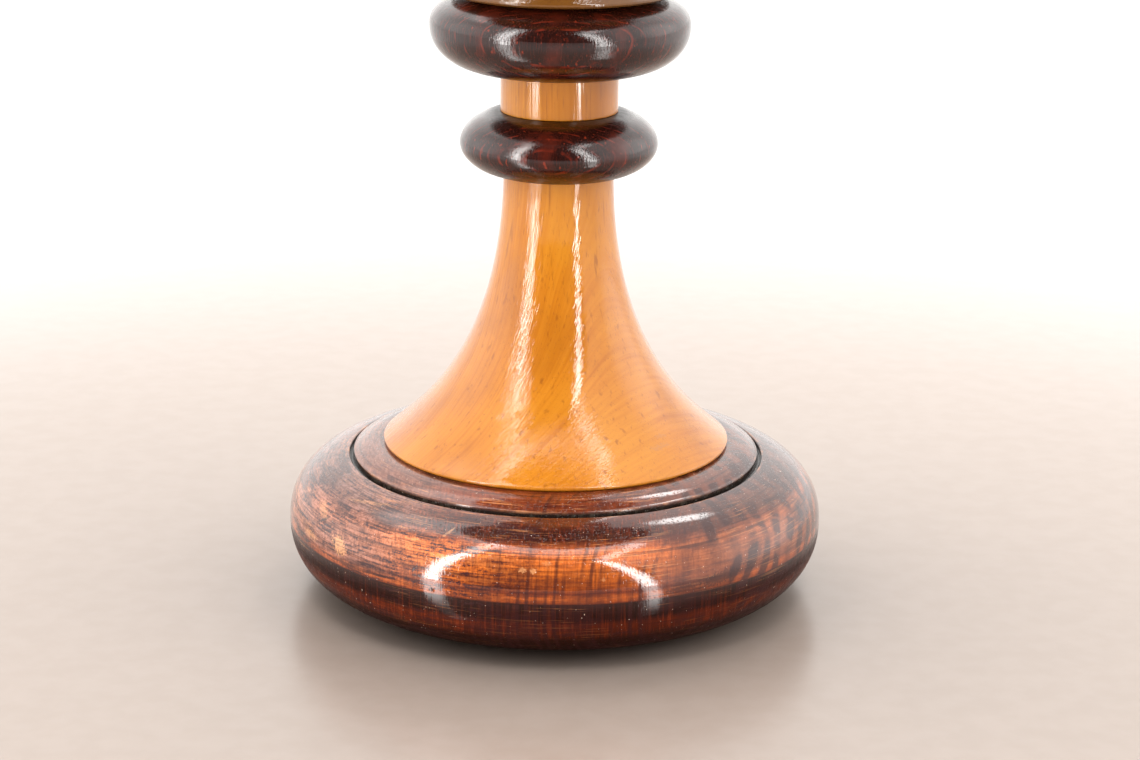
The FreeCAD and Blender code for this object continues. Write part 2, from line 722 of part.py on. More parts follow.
def rim_outline():
    """The section of the dished rim: a full outer edge, a bead, a groove and a slot for the tongue."""
    field_top = FIELD_Z + FIELD_THICKNESS
    bead_in = FIELD_R + RIM_GROOVE
    bead_out = bead_in + RIM_BEAD_WIDTH
    edge_level_r = TOP_R - RIM_EDGE_WIDTH
    crest_z = TABLE_H - RIM_CREST_DROP
    widest_z = RIM_BOTTOM_Z + RIM_WIDEST_RISE
    outer = bulge(edge_level_r, TOP_R, RIM_BOTTOM_Z, widest_z, crest_z, RIM_SQUARENESS)
    bead_foot_z = TABLE_H - BEAD_DROP
    middle_r = (edge_level_r + bead_out) / 2
    foot_slope = (crest_z - RIM_HOLLOW - bead_foot_z) / (middle_r - bead_out)
    hollow = smooth(
        [at(edge_level_r, crest_z), at(middle_r, crest_z - RIM_HOLLOW), at(bead_out, bead_foot_z)],
        V(-1, 0, 0),
        V(-1, 0, -foot_slope),
    )
    bead_in_z = field_top + BEAD_INNER_RISE
    bead_top = at((bead_in + bead_out) / 2, TABLE_H)
    bead = Part.Arc(at(bead_out, bead_foot_z), bead_top, at(bead_in, bead_in_z)).toShape()
    groove_z = field_top - RIM_GROOVE_DEPTH
    groove_out = at(FIELD_R + RIM_GROOVE_FLOOR, groove_z)
    inner_groove = lines(at(bead_in, bead_in_z), groove_out, at(FIELD_R, groove_z))
    low_tongue = tongue_z()
    high_tongue = low_tongue + TONGUE_THICKNESS
    pocket_r = FIELD_R + TONGUE_LENGTH + END_GAP
    inside = lines(
        at(FIELD_R, groove_z),
        at(FIELD_R, high_tongue),
        at(pocket_r, high_tongue),
        at(pocket_r, low_tongue),
        at(FIELD_R, low_tongue),
        at(FIELD_R, RIM_BOTTOM_Z + RIM_EASE),
        at(FIELD_R + RIM_EASE, RIM_BOTTOM_Z),
        at(edge_level_r, RIM_BOTTOM_Z),
    )
    return [outer, hollow, bead, *inner_groove, *inside]


def rim_segments():
    face = Part.Face(Part.Wire(rim_outline()))
    sweep = 360.0 / RIM_SEGMENTS
    segments = []
    for number in range(RIM_SEGMENTS):
        start = face.copy()
        start.rotate(AXIS_POINT, UP, sweep * (number - 0.5))
        segments.append(start.revolve(AXIS_POINT, UP, sweep))
    return segments


# ---------------------------------------------------------------- catch
def catch_plate():
    """A brass plate with two lugs that guide the bolt."""
    low_x, high_x = CATCH_X
    plate_z = FIELD_Z - BRASS_THICKNESS
    plate = box(V(low_x, -CATCH_HALF_WIDTH, plate_z), V(high_x, CATCH_HALF_WIDTH, FIELD_Z))
    upright = [e for e in plate.Edges if abs(e.Vertexes[0].Z - e.Vertexes[1].Z) > 1]
    plate = plate.makeFillet(CATCH_CORNER_R, upright)
    for x in LUG_XS:
        lug = Part.makeCylinder(LUG_R, LUG_LENGTH, V(x, 0, BOLT_Z), V(1, 0, 0))
        lug = lug.fuse(box(V(x, -LUG_R, BOLT_Z), V(x + LUG_LENGTH, LUG_R, plate_z)))
        plate = plate.fuse(lug)
    plate = plate.removeSplitter()
    guide = Part.makeCylinder(BOLT_BORE_R, high_x - low_x, V(low_x, 0, BOLT_Z), V(1, 0, 0))
    plate = plate.cut(guide)
    for head in catch_screw_heads():
        plate = plate.cut(small_screw(head, UP))
    return plate


def catch_bolt():
    """The bolt, drawn back at rest, with a threaded hole for its knob."""
    length = BOLT_TAIL_X - BOLT_NOSE_X
    bolt = Part.makeCylinder(BOLT_R, length, V(BOLT_NOSE_X, 0, BOLT_Z), V(1, 0, 0))
    ends = [e for e in bolt.Edges if e.Curve.TypeId == "Part::GeomCircle"]
    bolt = bolt.makeFillet(BOLT_ROUNDING, ends)
    hole_depth = BOLT_R + KNOB_HOLE_SPARE
    return bolt.cut(Part.makeCylinder(KNOB_STEM_R, hole_depth, V(KNOB_X, 0, BOLT_Z), V(0, 0, -1)))


def catch_knob():
    """A turned ball knob on a stem, hanging below the bolt."""
    stem_top = BOLT_Z
    ball_z = BOLT_Z - KNOB_DROP
    collar_z = ball_z + KNOB_R + KNOB_NECK_RISE
    reach, top_drop, bottom_drop, foot_drop = KNOB_FLANGE
    start_r = KNOB_STEM_R + KNOB_STEM_SWELL
    flange_r = KNOB_STEM_R + reach
    bolt_low = BOLT_Z - BOLT_R
    outline = lines(
        at(0, stem_top),
        at(KNOB_STEM_R, stem_top),
        at(KNOB_STEM_R, bolt_low - top_drop),
        at(flange_r, bolt_low - top_drop),
        at(flange_r, bolt_low - bottom_drop),
        at(start_r, bolt_low - foot_drop),
        at(start_r, collar_z),
    )
    start_z = ball_z + math.sqrt(KNOB_R**2 - start_r**2)
    outline += lines(at(start_r, collar_z), at(start_r, start_z))
    middle = at(KNOB_R, ball_z)
    outline.append(Part.Arc(at(start_r, start_z), middle, at(0, ball_z - KNOB_R)).toShape())
    outline.append(line(at(0, ball_z - KNOB_R), at(0, stem_top)))
    knob = turned(outline)
    knob.translate(V(KNOB_X, 0, 0))
    return knob


def strike_blank():
    """The strike plate's outline, which is also its mortise in the block."""
    low = V(BLOCK_HALF - BRASS_THICKNESS, -STRIKE_HALF_WIDTH, BOLT_Z - STRIKE_HALF_HEIGHT)
    high = V(BLOCK_HALF, STRIKE_HALF_WIDTH, BOLT_Z + STRIKE_HALF_HEIGHT)
    plate = box(low, high)
    corners = [e for e in plate.Edges if abs(e.Vertexes[0].X - e.Vertexes[1].X) > 1]
    return plate.makeFillet(STRIKE_CORNER_R, corners)


def strike_plate():
    start = V(BLOCK_HALF - 2 * BRASS_THICKNESS, 0, BOLT_Z)
    hole = Part.makeCylinder(STRIKE_HOLE_R, 3 * BRASS_THICKNESS, start, V(1, 0, 0))
    plate = strike_blank().cut(hole)
    for screw in strike_screw_solids():
        plate = plate.cut(screw)
    return plate


# ---------------------------------------------------------------- the whole table
def all_nodes():
    """Every sub-part by name. A node of several identical pieces is a list of solids."""
    nodes = {
        "base_bun": base_bun(),
        "lower_trumpet": lower_trumpet(),
        "lower_ring": lower_ring(),
        "lower_collar": lower_collar(),
        "centre_ring": centre_ring(),
        "upper_trumpet": upper_trumpet(),
        "upper_ring": upper_ring(),
        "upper_collar": upper_collar(),
        "cap_ring": cap_ring(),
        "pivot_block": pivot_block(),
        "tie_rod": tie_rod(),
        "base_nut": base_nut(),
        "base_washer": base_washer(),
        "block_nut": block_nut(),
        "block_washer": block_washer(),
        "strike_plate": strike_plate(),
        "strike_screws": strike_screws(),
        "batten_screws": batten_screws(),
        "catch_plate": catch_plate(),
        "catch_screws": catch_screws(),
        "catch_bolt": catch_bolt(),
        "catch_knob": catch_knob(),
    }
    for name, side in (("front", -1), ("back", 1)):
        nodes[f"pivot_pin_{name}"] = pivot_pin(side)
        nodes[f"pivot_washer_{name}"] = pivot_washer(side)
        nodes[f"batten_{name}"] = batten(side)
    for number, board in enumerate(field_boards(), 1):
        nodes[f"field_board_{number}"] = board
    for number, segment in enumerate(rim_segments(), 1):
        nodes[f"rim_segment_{number}"] = segment
    return nodes


def main():
    os.makedirs("parts", exist_ok=True)
    for name, solids in all_nodes().items():
        shape = Part.makeCompound(solids) if isinstance(solids, list) else solids
        shape.exportStep(f"parts/{name}.step")
        volume = shape.Volume / 1000
        print(f"{name}: {len(shape.Solids)} solid(s), {volume:.1f} cm3, valid {shape.isValid()}")


main()
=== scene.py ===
import json
import math

import bmesh
import bpy
import numpy as np
from mathutils import Matrix, Quaternion, Vector


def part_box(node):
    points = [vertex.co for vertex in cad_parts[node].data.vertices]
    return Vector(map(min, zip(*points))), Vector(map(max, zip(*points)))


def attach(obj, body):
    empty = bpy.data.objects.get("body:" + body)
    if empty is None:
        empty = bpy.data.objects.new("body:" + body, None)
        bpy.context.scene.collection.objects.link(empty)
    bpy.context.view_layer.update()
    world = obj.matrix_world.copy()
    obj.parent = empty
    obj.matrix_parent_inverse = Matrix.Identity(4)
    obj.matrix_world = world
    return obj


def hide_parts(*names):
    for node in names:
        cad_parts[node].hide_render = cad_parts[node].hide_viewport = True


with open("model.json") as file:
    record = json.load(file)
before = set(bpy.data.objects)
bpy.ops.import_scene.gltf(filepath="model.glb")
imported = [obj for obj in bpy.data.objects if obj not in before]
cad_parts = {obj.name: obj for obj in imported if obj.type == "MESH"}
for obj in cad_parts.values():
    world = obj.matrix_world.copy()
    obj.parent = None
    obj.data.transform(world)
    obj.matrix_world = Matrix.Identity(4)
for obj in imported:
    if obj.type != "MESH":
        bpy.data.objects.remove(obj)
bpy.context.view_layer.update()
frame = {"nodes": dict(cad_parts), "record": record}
record = frame["record"]
nodes = frame["nodes"]
scene = bpy.context.scene

# Outlines of turned pieces are in millimetres, as (radius, height). Everything else is in metres.
MM = 0.001


# ---------------------------------------------------------------- reading the CAD frame
def low(node):
    """Lowest height of a CAD node, in millimetres."""
    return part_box(node)[0].z / MM


def high(node):
    """Highest height of a CAD node, in millimetres."""
    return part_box(node)[1].z / MM


def radius(node):
    """Widest radius of a turned CAD node, in millimetres."""
    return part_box(node)[1].x / MM


# ---------------------------------------------------------------- outlines
def quarter(centre, semi, squareness, steps=40):
    """Points of a quarter of a rounded form, from its widest point to its level end."""
    points = []
    for step in range(steps + 1):
        angle = math.pi / 2 * step / steps
        across = max(math.cos(angle), 0.0) ** (2 / squareness)
        along = math.sin(angle) ** (2 / squareness)
        points.append((centre[0] + semi[0] * across, centre[1] + semi[1] * along))
    return points


def rounded(corners, steps=5):
    """A path through corners (r, z, fillet radius), with each fillet as an arc-like curve."""
    path = []
    for index, (r, z, fillet) in enumerate(corners):
        here = Vector((r, z))
        if fillet <= 0 or index in (0, len(corners) - 1):
            path.append((r, z))
            continue
        before = Vector(corners[index - 1][:2])
        after = Vector(corners[index + 1][:2])
        start = here + (before - here).normalized() * fillet
        end = here + (after - here).normalized() * fillet
        for step in range(steps + 1):
            t = step / steps
            point = start * (1 - t) ** 2 + here * 2 * t * (1 - t) + end * t**2
            path.append((point.x, point.y))
    return path


def even(path, step):
    """The closed path with points added so that no edge is longer than step."""
    points = []
    for a, b in zip(path, path[1:] + path[:1]):
        length = math.dist(a, b)
        if length < 1e-4:
            continue
        count = max(1, math.ceil(length / step))
        for k in range(count):
            t = k / count
            points.append((a[0] * (1 - t) + b[0] * t, a[1] * (1 - t) + b[1] * t))
    return points


# ---------------------------------------------------------------- meshes
def finish_mesh(name, vertices, faces, material, body, replaced):
    """Makes the piece, smooth shaded, riding on its body and standing for its CAD nodes."""
    mesh = bpy.data.meshes.new(name)
    mesh.from_pydata([tuple(v) for v in vertices], [], faces)
    bm = bmesh.new()
    bm.from_mesh(mesh)
    bmesh.ops.recalc_face_normals(bm, faces=bm.faces)
    bm.to_mesh(mesh)
    bm.free()
    mesh.shade_smooth()
    mesh.materials.append(material)
    piece = bpy.data.objects.new(name, mesh)
    scene.collection.objects.link(piece)
    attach(piece, body)
    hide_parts(*replaced)
    return piece


def edge_wear(points):
    """How sharp and convex the closed outline is at each point, from 0 to 1."""
    p = np.array(points)
    before = p - np.roll(p, 1, axis=0)
    after = np.roll(p, -1, axis=0) - p
    cross = before[:, 0] * after[:, 1] - before[:, 1] * after[:, 0]
    angle = np.arctan2(cross, (before * after).sum(1))
    area = 0.5 * np.sum(p[:, 0] * np.roll(p[:, 1], -1) - np.roll(p[:, 0], -1) * p[:, 1])
    bend = angle * np.sign(area) / (0.5 * (np.linalg.norm(before, axis=1) + np.linalg.norm(after, axis=1)))
    spread = 2
    smooth = sum(np.roll(bend, k) for k in range(-spread, spread + 1)) / (2 * spread + 1)
    return np.clip(smooth, -1, 1)


def turned(name, outline, material, replaced, step=1.2, segments=400, dents=()):
    """A turned solid of the pedestal from a closed outline, with dents pressed into its outside."""
    points = even(outline, step)
    wear = edge_wear(points)
    r = np.array([p[0] for p in points])
    z = np.array([p[1] for p in points])
    angles = np.linspace(0, 2 * math.pi, segments, endpoint=False)
    grid = np.zeros((segments, len(points), 3))
    grid[:, :, 0] = np.sin(angles)[:, None] * r
    grid[:, :, 1] = -np.cos(angles)[:, None] * r
    grid[:, :, 2] = z
    for dent in dents:
        press(grid, points, *dent)
    count = len(points)
    faces = []
    for a in range(segments):
        b = (a + 1) % segments
        for k in range(count):
            n = (k + 1) % count
            faces.append((a * count + k, b * count + k, b * count + n, a * count + n))
    piece = finish_mesh(name, grid.reshape(-1, 3) * MM, faces, material, "pedestal", replaced)
    layer = piece.data.attributes.new("wear", "FLOAT", "POINT")
    layer.data.foreach_set("value", np.tile(wear, segments).astype(np.float32))
    return piece


def press(grid, points, azimuth, height, width, tall, depth, turn):
    """Presses one dent into the grid of a turned piece.

    width and tall are its half sizes and depth its depth, in millimetres, and turn tips it, in degrees.
    """
    beside = 2.0
    reach = max(p[0] for p in points if abs(p[1] - height) < beside)
    a = math.radians(azimuth)
    centre = np.array([reach * math.sin(a), -reach * math.cos(a), height])
    along = np.array([math.cos(a), math.sin(a), 0.0])
    downward = -0.25
    inward = np.array([-math.sin(a), math.cos(a), downward])
    offset = grid - centre
    x = offset @ along
    y = offset[:, :, 2]
    t = math.radians(turn)
    u = (x * math.cos(t) + y * math.sin(t)) / width
    v = (-x * math.sin(t) + y * math.cos(t)) / tall
    deepest = 12.0
    near = (np.abs(offset @ inward) < deepest).astype(float)
    grid += (depth * np.exp(-(u**2 + v**2)) * near)[:, :, None] * inward


# ---------------------------------------------------------------- material graphs
# Sockets of a Mix node that mixes colours
COLOUR_A, COLOUR_B, MIXED_COLOUR = 6, 7, 2


class Graph:
    """Short calls for building a node tree; every value is a socket or a plain number."""

    def __init__(self, name, world=None):
        """Starts the nodes of a new material, or of a world, whose places are directions."""
        owner = world or bpy.data.materials.new(name)
        self.owner = owner
        owner.use_nodes = True
        self.tree = owner.node_tree
        self.tree.nodes.clear()
        self.place = self.node("ShaderNodeTexCoord").outputs["Generated" if world else "Object"]

    def node(self, kind, **settings):
        made = self.tree.nodes.new(kind)
        for key, value in settings.items():
            setattr(made, key, value)
        return made

    def put(self, socket, value):
        if isinstance(value, bpy.types.NodeSocket):
            self.tree.links.new(value, socket)
        elif isinstance(value, (tuple, list)) and len(value) == 3 and socket.type == "RGBA":
            socket.default_value = (*value, 1.0)
        else:
            socket.default_value = value

    def math(self, operation, a, b=0.0, c=0.0):
        made = self.node("ShaderNodeMath", operation=operation)
        for socket, value in zip(made.inputs, (a, b, c)):
            self.put(socket, value)
        return made.outputs[0]

    def add(self, a, b):
        return self.math("ADD", a, b)

    def times(self, a, b):
        return self.math("MULTIPLY", a, b)

    def invert(self, a):
        return self.math("SUBTRACT", 1.0, a)

    def split(self, vector):
        made = self.node("ShaderNodeSeparateXYZ")
        self.put(made.inputs[0], vector)
        return made.outputs

    def join(self, x, y, z):
        made = self.node("ShaderNodeCombineXYZ")
        for socket, value in zip(made.inputs, (x, y, z)):
            self.put(socket, value)
        return made.outputs[0]

    def map(self, vector, location=(0, 0, 0), rotation=(0, 0, 0), scale=(1, 1, 1)):
        """The vector moved by -location, turned back by rotation (degrees), then multiplied by scale."""
        made = self.node("ShaderNodeMapping", vector_type="TEXTURE")
        self.put(made.inputs["Vector"], vector)
        made.inputs["Location"].default_value = location
        made.inputs["Rotation"].default_value = [math.radians(x) for x in rotation]
        made.inputs["Scale"].default_value = [1 / x for x in scale]
        return made.outputs[0]

    def noise(self, vector, scale=1.0, detail=3.0, rough=0.5, w=None):
        """Noise about 0.5; w is a fourth coordinate where it has one."""
        made = self.node("ShaderNodeTexNoise", noise_dimensions="3D" if w is None else "4D")
        self.put(made.inputs["Vector"], vector)
        if w is not None:
            self.put(made.inputs["W"], w)
        made.inputs["Scale"].default_value = scale
        made.inputs["Detail"].default_value = detail
        made.inputs["Roughness"].default_value = rough
        return made.outputs["Fac"]

    def smooth(self, value, start, end, low=0.0, high=1.0):
        """A smooth step from low to high as the value goes from start to end."""
        made = self.node("ShaderNodeMapRange", interpolation_type="SMOOTHSTEP")
        self.put(made.inputs["Value"], value)
        made.inputs["From Min"].default_value = start
        made.inputs["From Max"].default_value = end
        made.inputs["To Min"].default_value = low
        made.inputs["To Max"].default_value = high
        return made.outputs[0]

    def ramp(self, value, stops):
        """A colour that follows value through stops of (position, colour)."""
        made = self.node("ShaderNodeValToRGB")
        self.put(made.inputs[0], value)
        ramp = made.color_ramp
        while len(ramp.elements) < len(stops):
            ramp.elements.new(0.5)
        for element, (position, colour) in zip(ramp.elements, stops):
            element.position = position
            element.color = (*colour, 1.0)
        return made.outputs["Color"]

    def mix(self, amount, a, b, blend="MIX"):
        made = self.node("ShaderNodeMix", data_type="RGBA", blend_type=blend)
        self.put(made.inputs[0], amount)
        self.put(made.inputs[COLOUR_A], a)
        self.put(made.inputs[COLOUR_B], b)
        return made.outputs[MIXED_COLOUR]

    def lighten(self, colour, amount, gain):
        """The colour multiplied by gain where amount is 1."""
        return self.mix(amount, colour, self.mix(1.0, colour, gain, "MULTIPLY"))

    def attribute(self, name):
        return self.node("ShaderNodeAttribute", attribute_name=name).outputs["Fac"]

    def bump(self, height, distance, strength=1.0):
        """A normal tipped by height, which stands distance metres high where it is 1."""
        made = self.node("ShaderNodeBump")
        self.put(made.inputs["Height"], height)
        made.inputs["Distance"].default_value = distance
        made.inputs["Strength"].default_value = strength
        return made.outputs[0]

    def shade(self, colour, roughness, normal, coat_normal=None, **settings):
        """The one shader of the material; keyword names are its sockets, with _ for a space."""
        made = self.node("ShaderNodeBsdfPrincipled")
        self.put(made.inputs["Base Color"], colour)
        self.put(made.inputs["Roughness"], roughness)
        if normal is not None:
            self.put(made.inputs["Normal"], normal)
        if coat_normal is not None:
            self.put(made.inputs["Coat Normal"], coat_normal)
        for key, value in settings.items():
            self.put(made.inputs[key.replace("_", " ")], value)
        output = self.node("ShaderNodeOutputMaterial")
        self.tree.links.new(made.outputs[0], output.inputs[0])
        return self.owner

    def spotlight(self, direction, towards, start, end):
        """1 where direction is close to towards, by the cosine between them."""
        made = self.node("ShaderNodeVectorMath", operation="DOT_PRODUCT")
        self.put(made.inputs[0], direction)
        made.inputs[1].default_value = Vector(towards).normalized()
        return self.smooth(made.outputs["Value"], start, end)

    # ---- places on a turned piece
    def around(self):
        """(sideways unit vector x, y, radius, height) of a point about the Z axis."""
        x, y, z = self.split(self.place)
        r = self.math("MAXIMUM", self.math("SQRT", self.add(self.times(x, x), self.times(y, y))), 1e-4)
        return self.math("DIVIDE", x, r), self.math("DIVIDE", y, r), r, z

    def turning_lines(self, along, across, detail=2.0, rough=0.6):
        """Noise drawn out round the axis, as a turning tool and its abrasive leave it."""
        cx, cy, r, z = self.around()
        vector = self.join(self.times(cx, along), self.times(cy, along), self.times(z, across))
        return self.noise(vector, detail=detail, rough=rough, w=self.times(r, across))

    def spot(self, azimuth, height, reach, size, raggedness, tilt=0.0):
        """1 inside a ragged-edged spot on a turned piece, fading to 0 at its edge.

        Its place and half sizes are in millimetres, and tilt turns it, in degrees.
        """
        a = math.radians(azimuth)
        centre = Vector((reach * math.sin(a), -reach * math.cos(a), height)) * MM
        level = self.map(self.place, location=centre, rotation=(0, 0, azimuth))
        local = self.map(level, rotation=(0, -tilt, 0), scale=[1 / (s * MM) for s in size])
        made = self.node("ShaderNodeVectorMath", operation="LENGTH")
        self.put(made.inputs[0], local)
        ragged = self.math("SUBTRACT", self.noise(self.place, scale=900, detail=3), 0.5)
        distance = self.add(made.outputs["Value"], self.times(ragged, raggedness * 4))
        return self.smooth(distance, 1.15, 0.6)


# ---------------------------------------------------------------- marks
# Scuffs on the lower trumpet: azimuth, height, radius, size (along, deep, tall) and strength
SCUFFS = [
    (43, 90, 76, (7, 5, 1.2), 0.55),
    (47, 94, 72, (4, 4, 0.8), 0.45),
    (-150, 100, 66, (6, 4, 1.0), 0.5),
]
# Marks on the bun: azimuth, height, size (along, deep, tall), tilt and strength
PALE_SPOTS = [
    (-51, 46.6, (6.5, 5, 3.8), -25, 0.75),
    (-6.5, 52.4, (1.9, 3, 1.1), 0, 0.55),
    (-4.3, 51.9, (1.6, 3, 1.4), 0, 0.50),
    (-1.6, 55.3, (2.4, 3, 1.2), 0, 0.30),
    (10, 48.2, (1.2, 2, 1.0), 0, 0.30),
    (-24.5, 63.5, (0.6, 4, 5.0), -50, 0.40),
    (-50, 66.0, (18, 5, 0.6), 6, 0.30),
    (-62, 57.0, (9, 4, 2.2), -20, 0.30),
    (-63, 43.5, (8, 4, 1.8), 0, 0.40),
    (139, 44, (5, 4, 3), 10, 0.50),
    (-128, 58, (8, 5, 3), -15, 0.45),
    (175, 51, (3, 3, 2), 0, 0.40),
]
DARK_SPOTS = [
    (-59.5, 53.6, (5.5, 4, 0.9), 28, 0.90),
    (-55.5, 51.0, (3.2, 4, 0.7), 28, 0.60),
    (-25.5, 38.2, (1.6, 3, 1.1), 0, 0.85),
    (-42, 63.0, (15, 9, 2.6), -8, 0.60),
    (-56, 61.0, (9, 8, 1.8), -14, 0.45),
    (-30, 61.0, (10, 8, 1.5), -6, 0.50),
    (-66, 38.0, (16, 5, 3.0), -6, 0.60),
    (-47, 38.5, (12, 5, 1.6), -6, 0.55),
    (36, 41.5, (13, 8, 3.2), 8, 0.62),
    (46, 47.5, (9, 8, 4.5), 35, 0.50),
    (27, 39.8, (10, 6, 1.4), 4, 0.55),
    (-118, 50, (9, 5, 2.0), 10, 0.55),
    (150, 57, (12, 6, 1.8), -10, 0.50),
]
# Dents in the bun: azimuth, height, half width, half height, depth and turn
BUN_DENTS = [
    (-59, 51.7, 4.5, 0.9, 0.55, 24),
    (-57.5, 48.5, 3.0, 0.9, 0.25, 30),
    (-51, 46.6, 6.0, 4.0, 0.12, 0),
    (-25.5, 38.2, 1.3, 0.9, 0.30, 0),
    (-6.5, 52.4, 1.7, 1.0, 0.14, 0),
    (38, 60, 5.0, 1.0, 0.20, -30),
    (118, 47, 3.0, 1.2, 0.35, 20),
    (-140, 52, 4.0, 1.2, 0.35, -25),
    (168, 40, 2.5, 1.5, 0.30, 0),
]


# ---------------------------------------------------------------- woods
VARNISH = {"Coat_Weight": 1.0, "Coat_Roughness": 0.055, "Coat_IOR": 1.5, "Specular_IOR_Level": 0.05}
GOLD_RAMP = [
    (0.34, (0.455, 0.160, 0.0105)),
    (0.52, (0.425, 0.142, 0.0080)),
    (0.70, (0.375, 0.116, 0.0060)),
]
RING_RAMP = [
    (0.30, (0.008, 0.0020, 0.0015)),
    (0.55, (0.017, 0.0034, 0.0021)),
    (0.78, (0.075, 0.0085, 0.0036)),
]


def layered(g, centre, fibre=(0, 0, 0)):
    """Growth layers curved round a far centre: (place, distance across them, two places along them)."""
    grain = g.map(g.place, location=centre, rotation=fibre)
    x, y, z = g.split(grain)
    distance = g.math("SQRT", g.add(g.times(x, x), g.times(y, y)))
    return grain, distance, y, z


def gold_wood(name, seed, fibre=(0, 0, 0), darkened_to=None):
    """Golden varnished wood with fine close layers and long pores; fibre turns its grain from Z.

    Below a given height, the edge of its foot is darker, next to the ring under it.
    """
    g = Graph(name)
    grain, distance, y, z = layered(g, (-0.135 - 0.01 * seed, 0.105, 0.01 * seed), fibre)
    warp = g.noise(grain, scale=12, detail=2)
    across = g.add(g.times(distance, 680), g.times(warp, 5.0))
    fine = g.noise(g.join(across, g.times(y, 26), g.times(z, 8)), detail=2, rough=0.6)
    streak_field = g.noise(g.map(grain, scale=(330, 330, 9)), detail=2, rough=0.55)
    streaks = g.smooth(streak_field, 0.60, 0.74)
    pore_field = g.noise(g.map(grain, scale=(1500, 1500, 50)), detail=2, rough=0.6)
    pores = g.smooth(pore_field, 0.60, 0.72)
    cloud = g.noise(g.map(grain, scale=(26, 26, 12)), detail=3)
    colour = g.ramp(fine, GOLD_RAMP)
    colour = g.mix(g.smooth(cloud, 0.42, 0.72, 0.0, 0.55), colour, (0.490, 0.196, 0.0150))
    colour = g.mix(g.smooth(cloud, 0.50, 0.26, 0.0, 0.60), colour, (0.280, 0.084, 0.0050))
    colour = g.mix(g.times(streaks, 0.55), colour, (0.190, 0.050, 0.0045))
    colour = g.mix(g.times(pores, 0.38), colour, (0.165, 0.040, 0.0040))
    speck = g.smooth(g.noise(g.place, scale=700, detail=1), 0.72, 0.78)
    colour = g.mix(g.times(speck, 0.22), colour, (0.12, 0.035, 0.008))
    for azimuth, height, reach, size, strength in SCUFFS:
        scuff = g.spot(azimuth, height, reach, size, raggedness=0.8)
        colour = g.mix(g.times(scuff, strength), colour, (0.36, 0.15, 0.05))
    if darkened_to:
        # the edge of the foot is darker below that height
        stain = g.smooth(g.split(g.place)[2], darkened_to + 0.0015, darkened_to - 0.0010, 0.0, 0.86)
        colour = g.mix(stain, colour, (0.070, 0.028, 0.006))
    roughness = g.smooth(g.noise(g.place, scale=300, detail=2), 0.2, 0.8, 0.36, 0.50)
    relief = g.add(g.times(fine, 1.0), g.times(pores, -0.6))
    relief = g.add(relief, g.times(g.turning_lines(2.5, 900), 0.25))
    threads = g.noise(g.join(g.times(distance, 1900), g.times(y, 500), g.times(z, 22)), detail=1)
    waves = g.add(g.times(threads, 1.0), g.times(g.noise(g.place, scale=110, detail=1), 0.30))
    return g.shade(colour, roughness, g.bump(relief, 0.00024, 0.9), g.bump(waves, 0.00010, 0.9), **VARNISH)


# ---- the stained wood of the base
PITH = (0.200, -0.178, 0.0)  # heart of the tree that the base was cut beside
BUN_BULGE = {"below": (45.3, 37.0, 2.29), "above": (41.9, 33.7, 2.16)}  # radial, vertical, squareness
BUN_EQUATOR = 37.0
GROOVE_LIP_R = 108.6
PLATFORM_R = 106.1
GRIME_TOP = (0.0722, 0.0700)  # where the grime in the groove thins out

# Colour by height, in metres: nearly black bands round the base, between red and orange ones. The orange
# bands are stain. The nearly black foot is painted contact shadow; the red band and the nearly black band
# below the widest point are a painted reflection of dark red-brown wood under the base; the brightest
# band, near 0.0585, is partly a painted highlight.
BAND_SPAN = 0.080
STAIN_AND_PAINTED_LIGHT_BANDS = [
    (0.000, (0.0101, 0.00288, 0.00144)),
    (0.015, (0.0173, 0.0036, 0.00144)),
    (0.0205, (0.054, 0.00792, 0.00216)),
    (0.0245, (0.0648, 0.00936, 0.00252)),
    (0.0275, (0.0122, 0.00288, 0.00158)),
    (0.0362, (0.0122, 0.00288, 0.00158)),
    (0.0370, (0.193, 0.0325, 0.00527)),
    (0.0395, (0.316, 0.0597, 0.00791)),
    (0.0418, (0.0878, 0.0123, 0.00351)),
    (0.0436, (0.237, 0.0439, 0.00615)),
    (0.0520, (0.334, 0.0729, 0.00966)),
    (0.0585, (0.49, 0.11, 0.0192)),
    (0.0618, (0.184, 0.0351, 0.00838)),
    (0.0640, (0.0223, 0.00446, 0.00223)),
    (0.0662, (0.0187, 0.00402, 0.00223)),
    (0.0690, (0.0759, 0.0134, 0.00357)),
    (0.0720, (0.108, 0.0187, 0.00576)),
    (0.0766, (0.158, 0.0288, 0.0072)),
]


def bun_radius(height):
    """Radius of the bun's side at this height, in millimetres."""
    radial, vertical, squareness = BUN_BULGE["above" if height > BUN_EQUATOR else "below"]
    sine = min(abs(height - BUN_EQUATOR) / vertical, 1.0) ** (squareness / 2)
    return radius("base_bun") - radial + radial * math.sqrt(1 - sine**2) ** (2 / squareness)


class BaseGraph(Graph):
    """The base's material graph, with the fields that its layers of stain, figure and wear share.

    sideways and backward are a unit vector from the axis. right_side is 1 where the surface runs along
    the growth layers, and above_band is 1 above the dark band. columns is drawn out upwards, scratches
    round the axis, and mottled is a little of both.
    """

    def __init__(self, name):
        super().__init__(name)
        self.sideways, self.backward, self.r, self.z = self.around()
        self.right_side = self.smooth(self.sideways, 0.30, 0.68)
        self.columns = self.noise(self.map(self.place, scale=(900, 150, 16)), detail=3, rough=0.6)
        self.scratches = self.turning_lines(6.0, 1300, detail=3, rough=0.7)
        flecks = self.noise(self.map(self.place, scale=(950, 950, 800)), detail=3, rough=0.65)
        large_flecks = self.noise(self.map(self.place, scale=(260, 260, 420)), detail=3, rough=0.6)
        wisps = self.turning_lines(8.0, 760, detail=3, rough=0.65)
        mottled = self.add(self.times(flecks, 0.24), self.times(large_flecks, 0.20))
        self.mottled = self.add(mottled, self.times(wisps, 0.56))
        self.above_band = self.smooth(self.z, 0.036, 0.044)


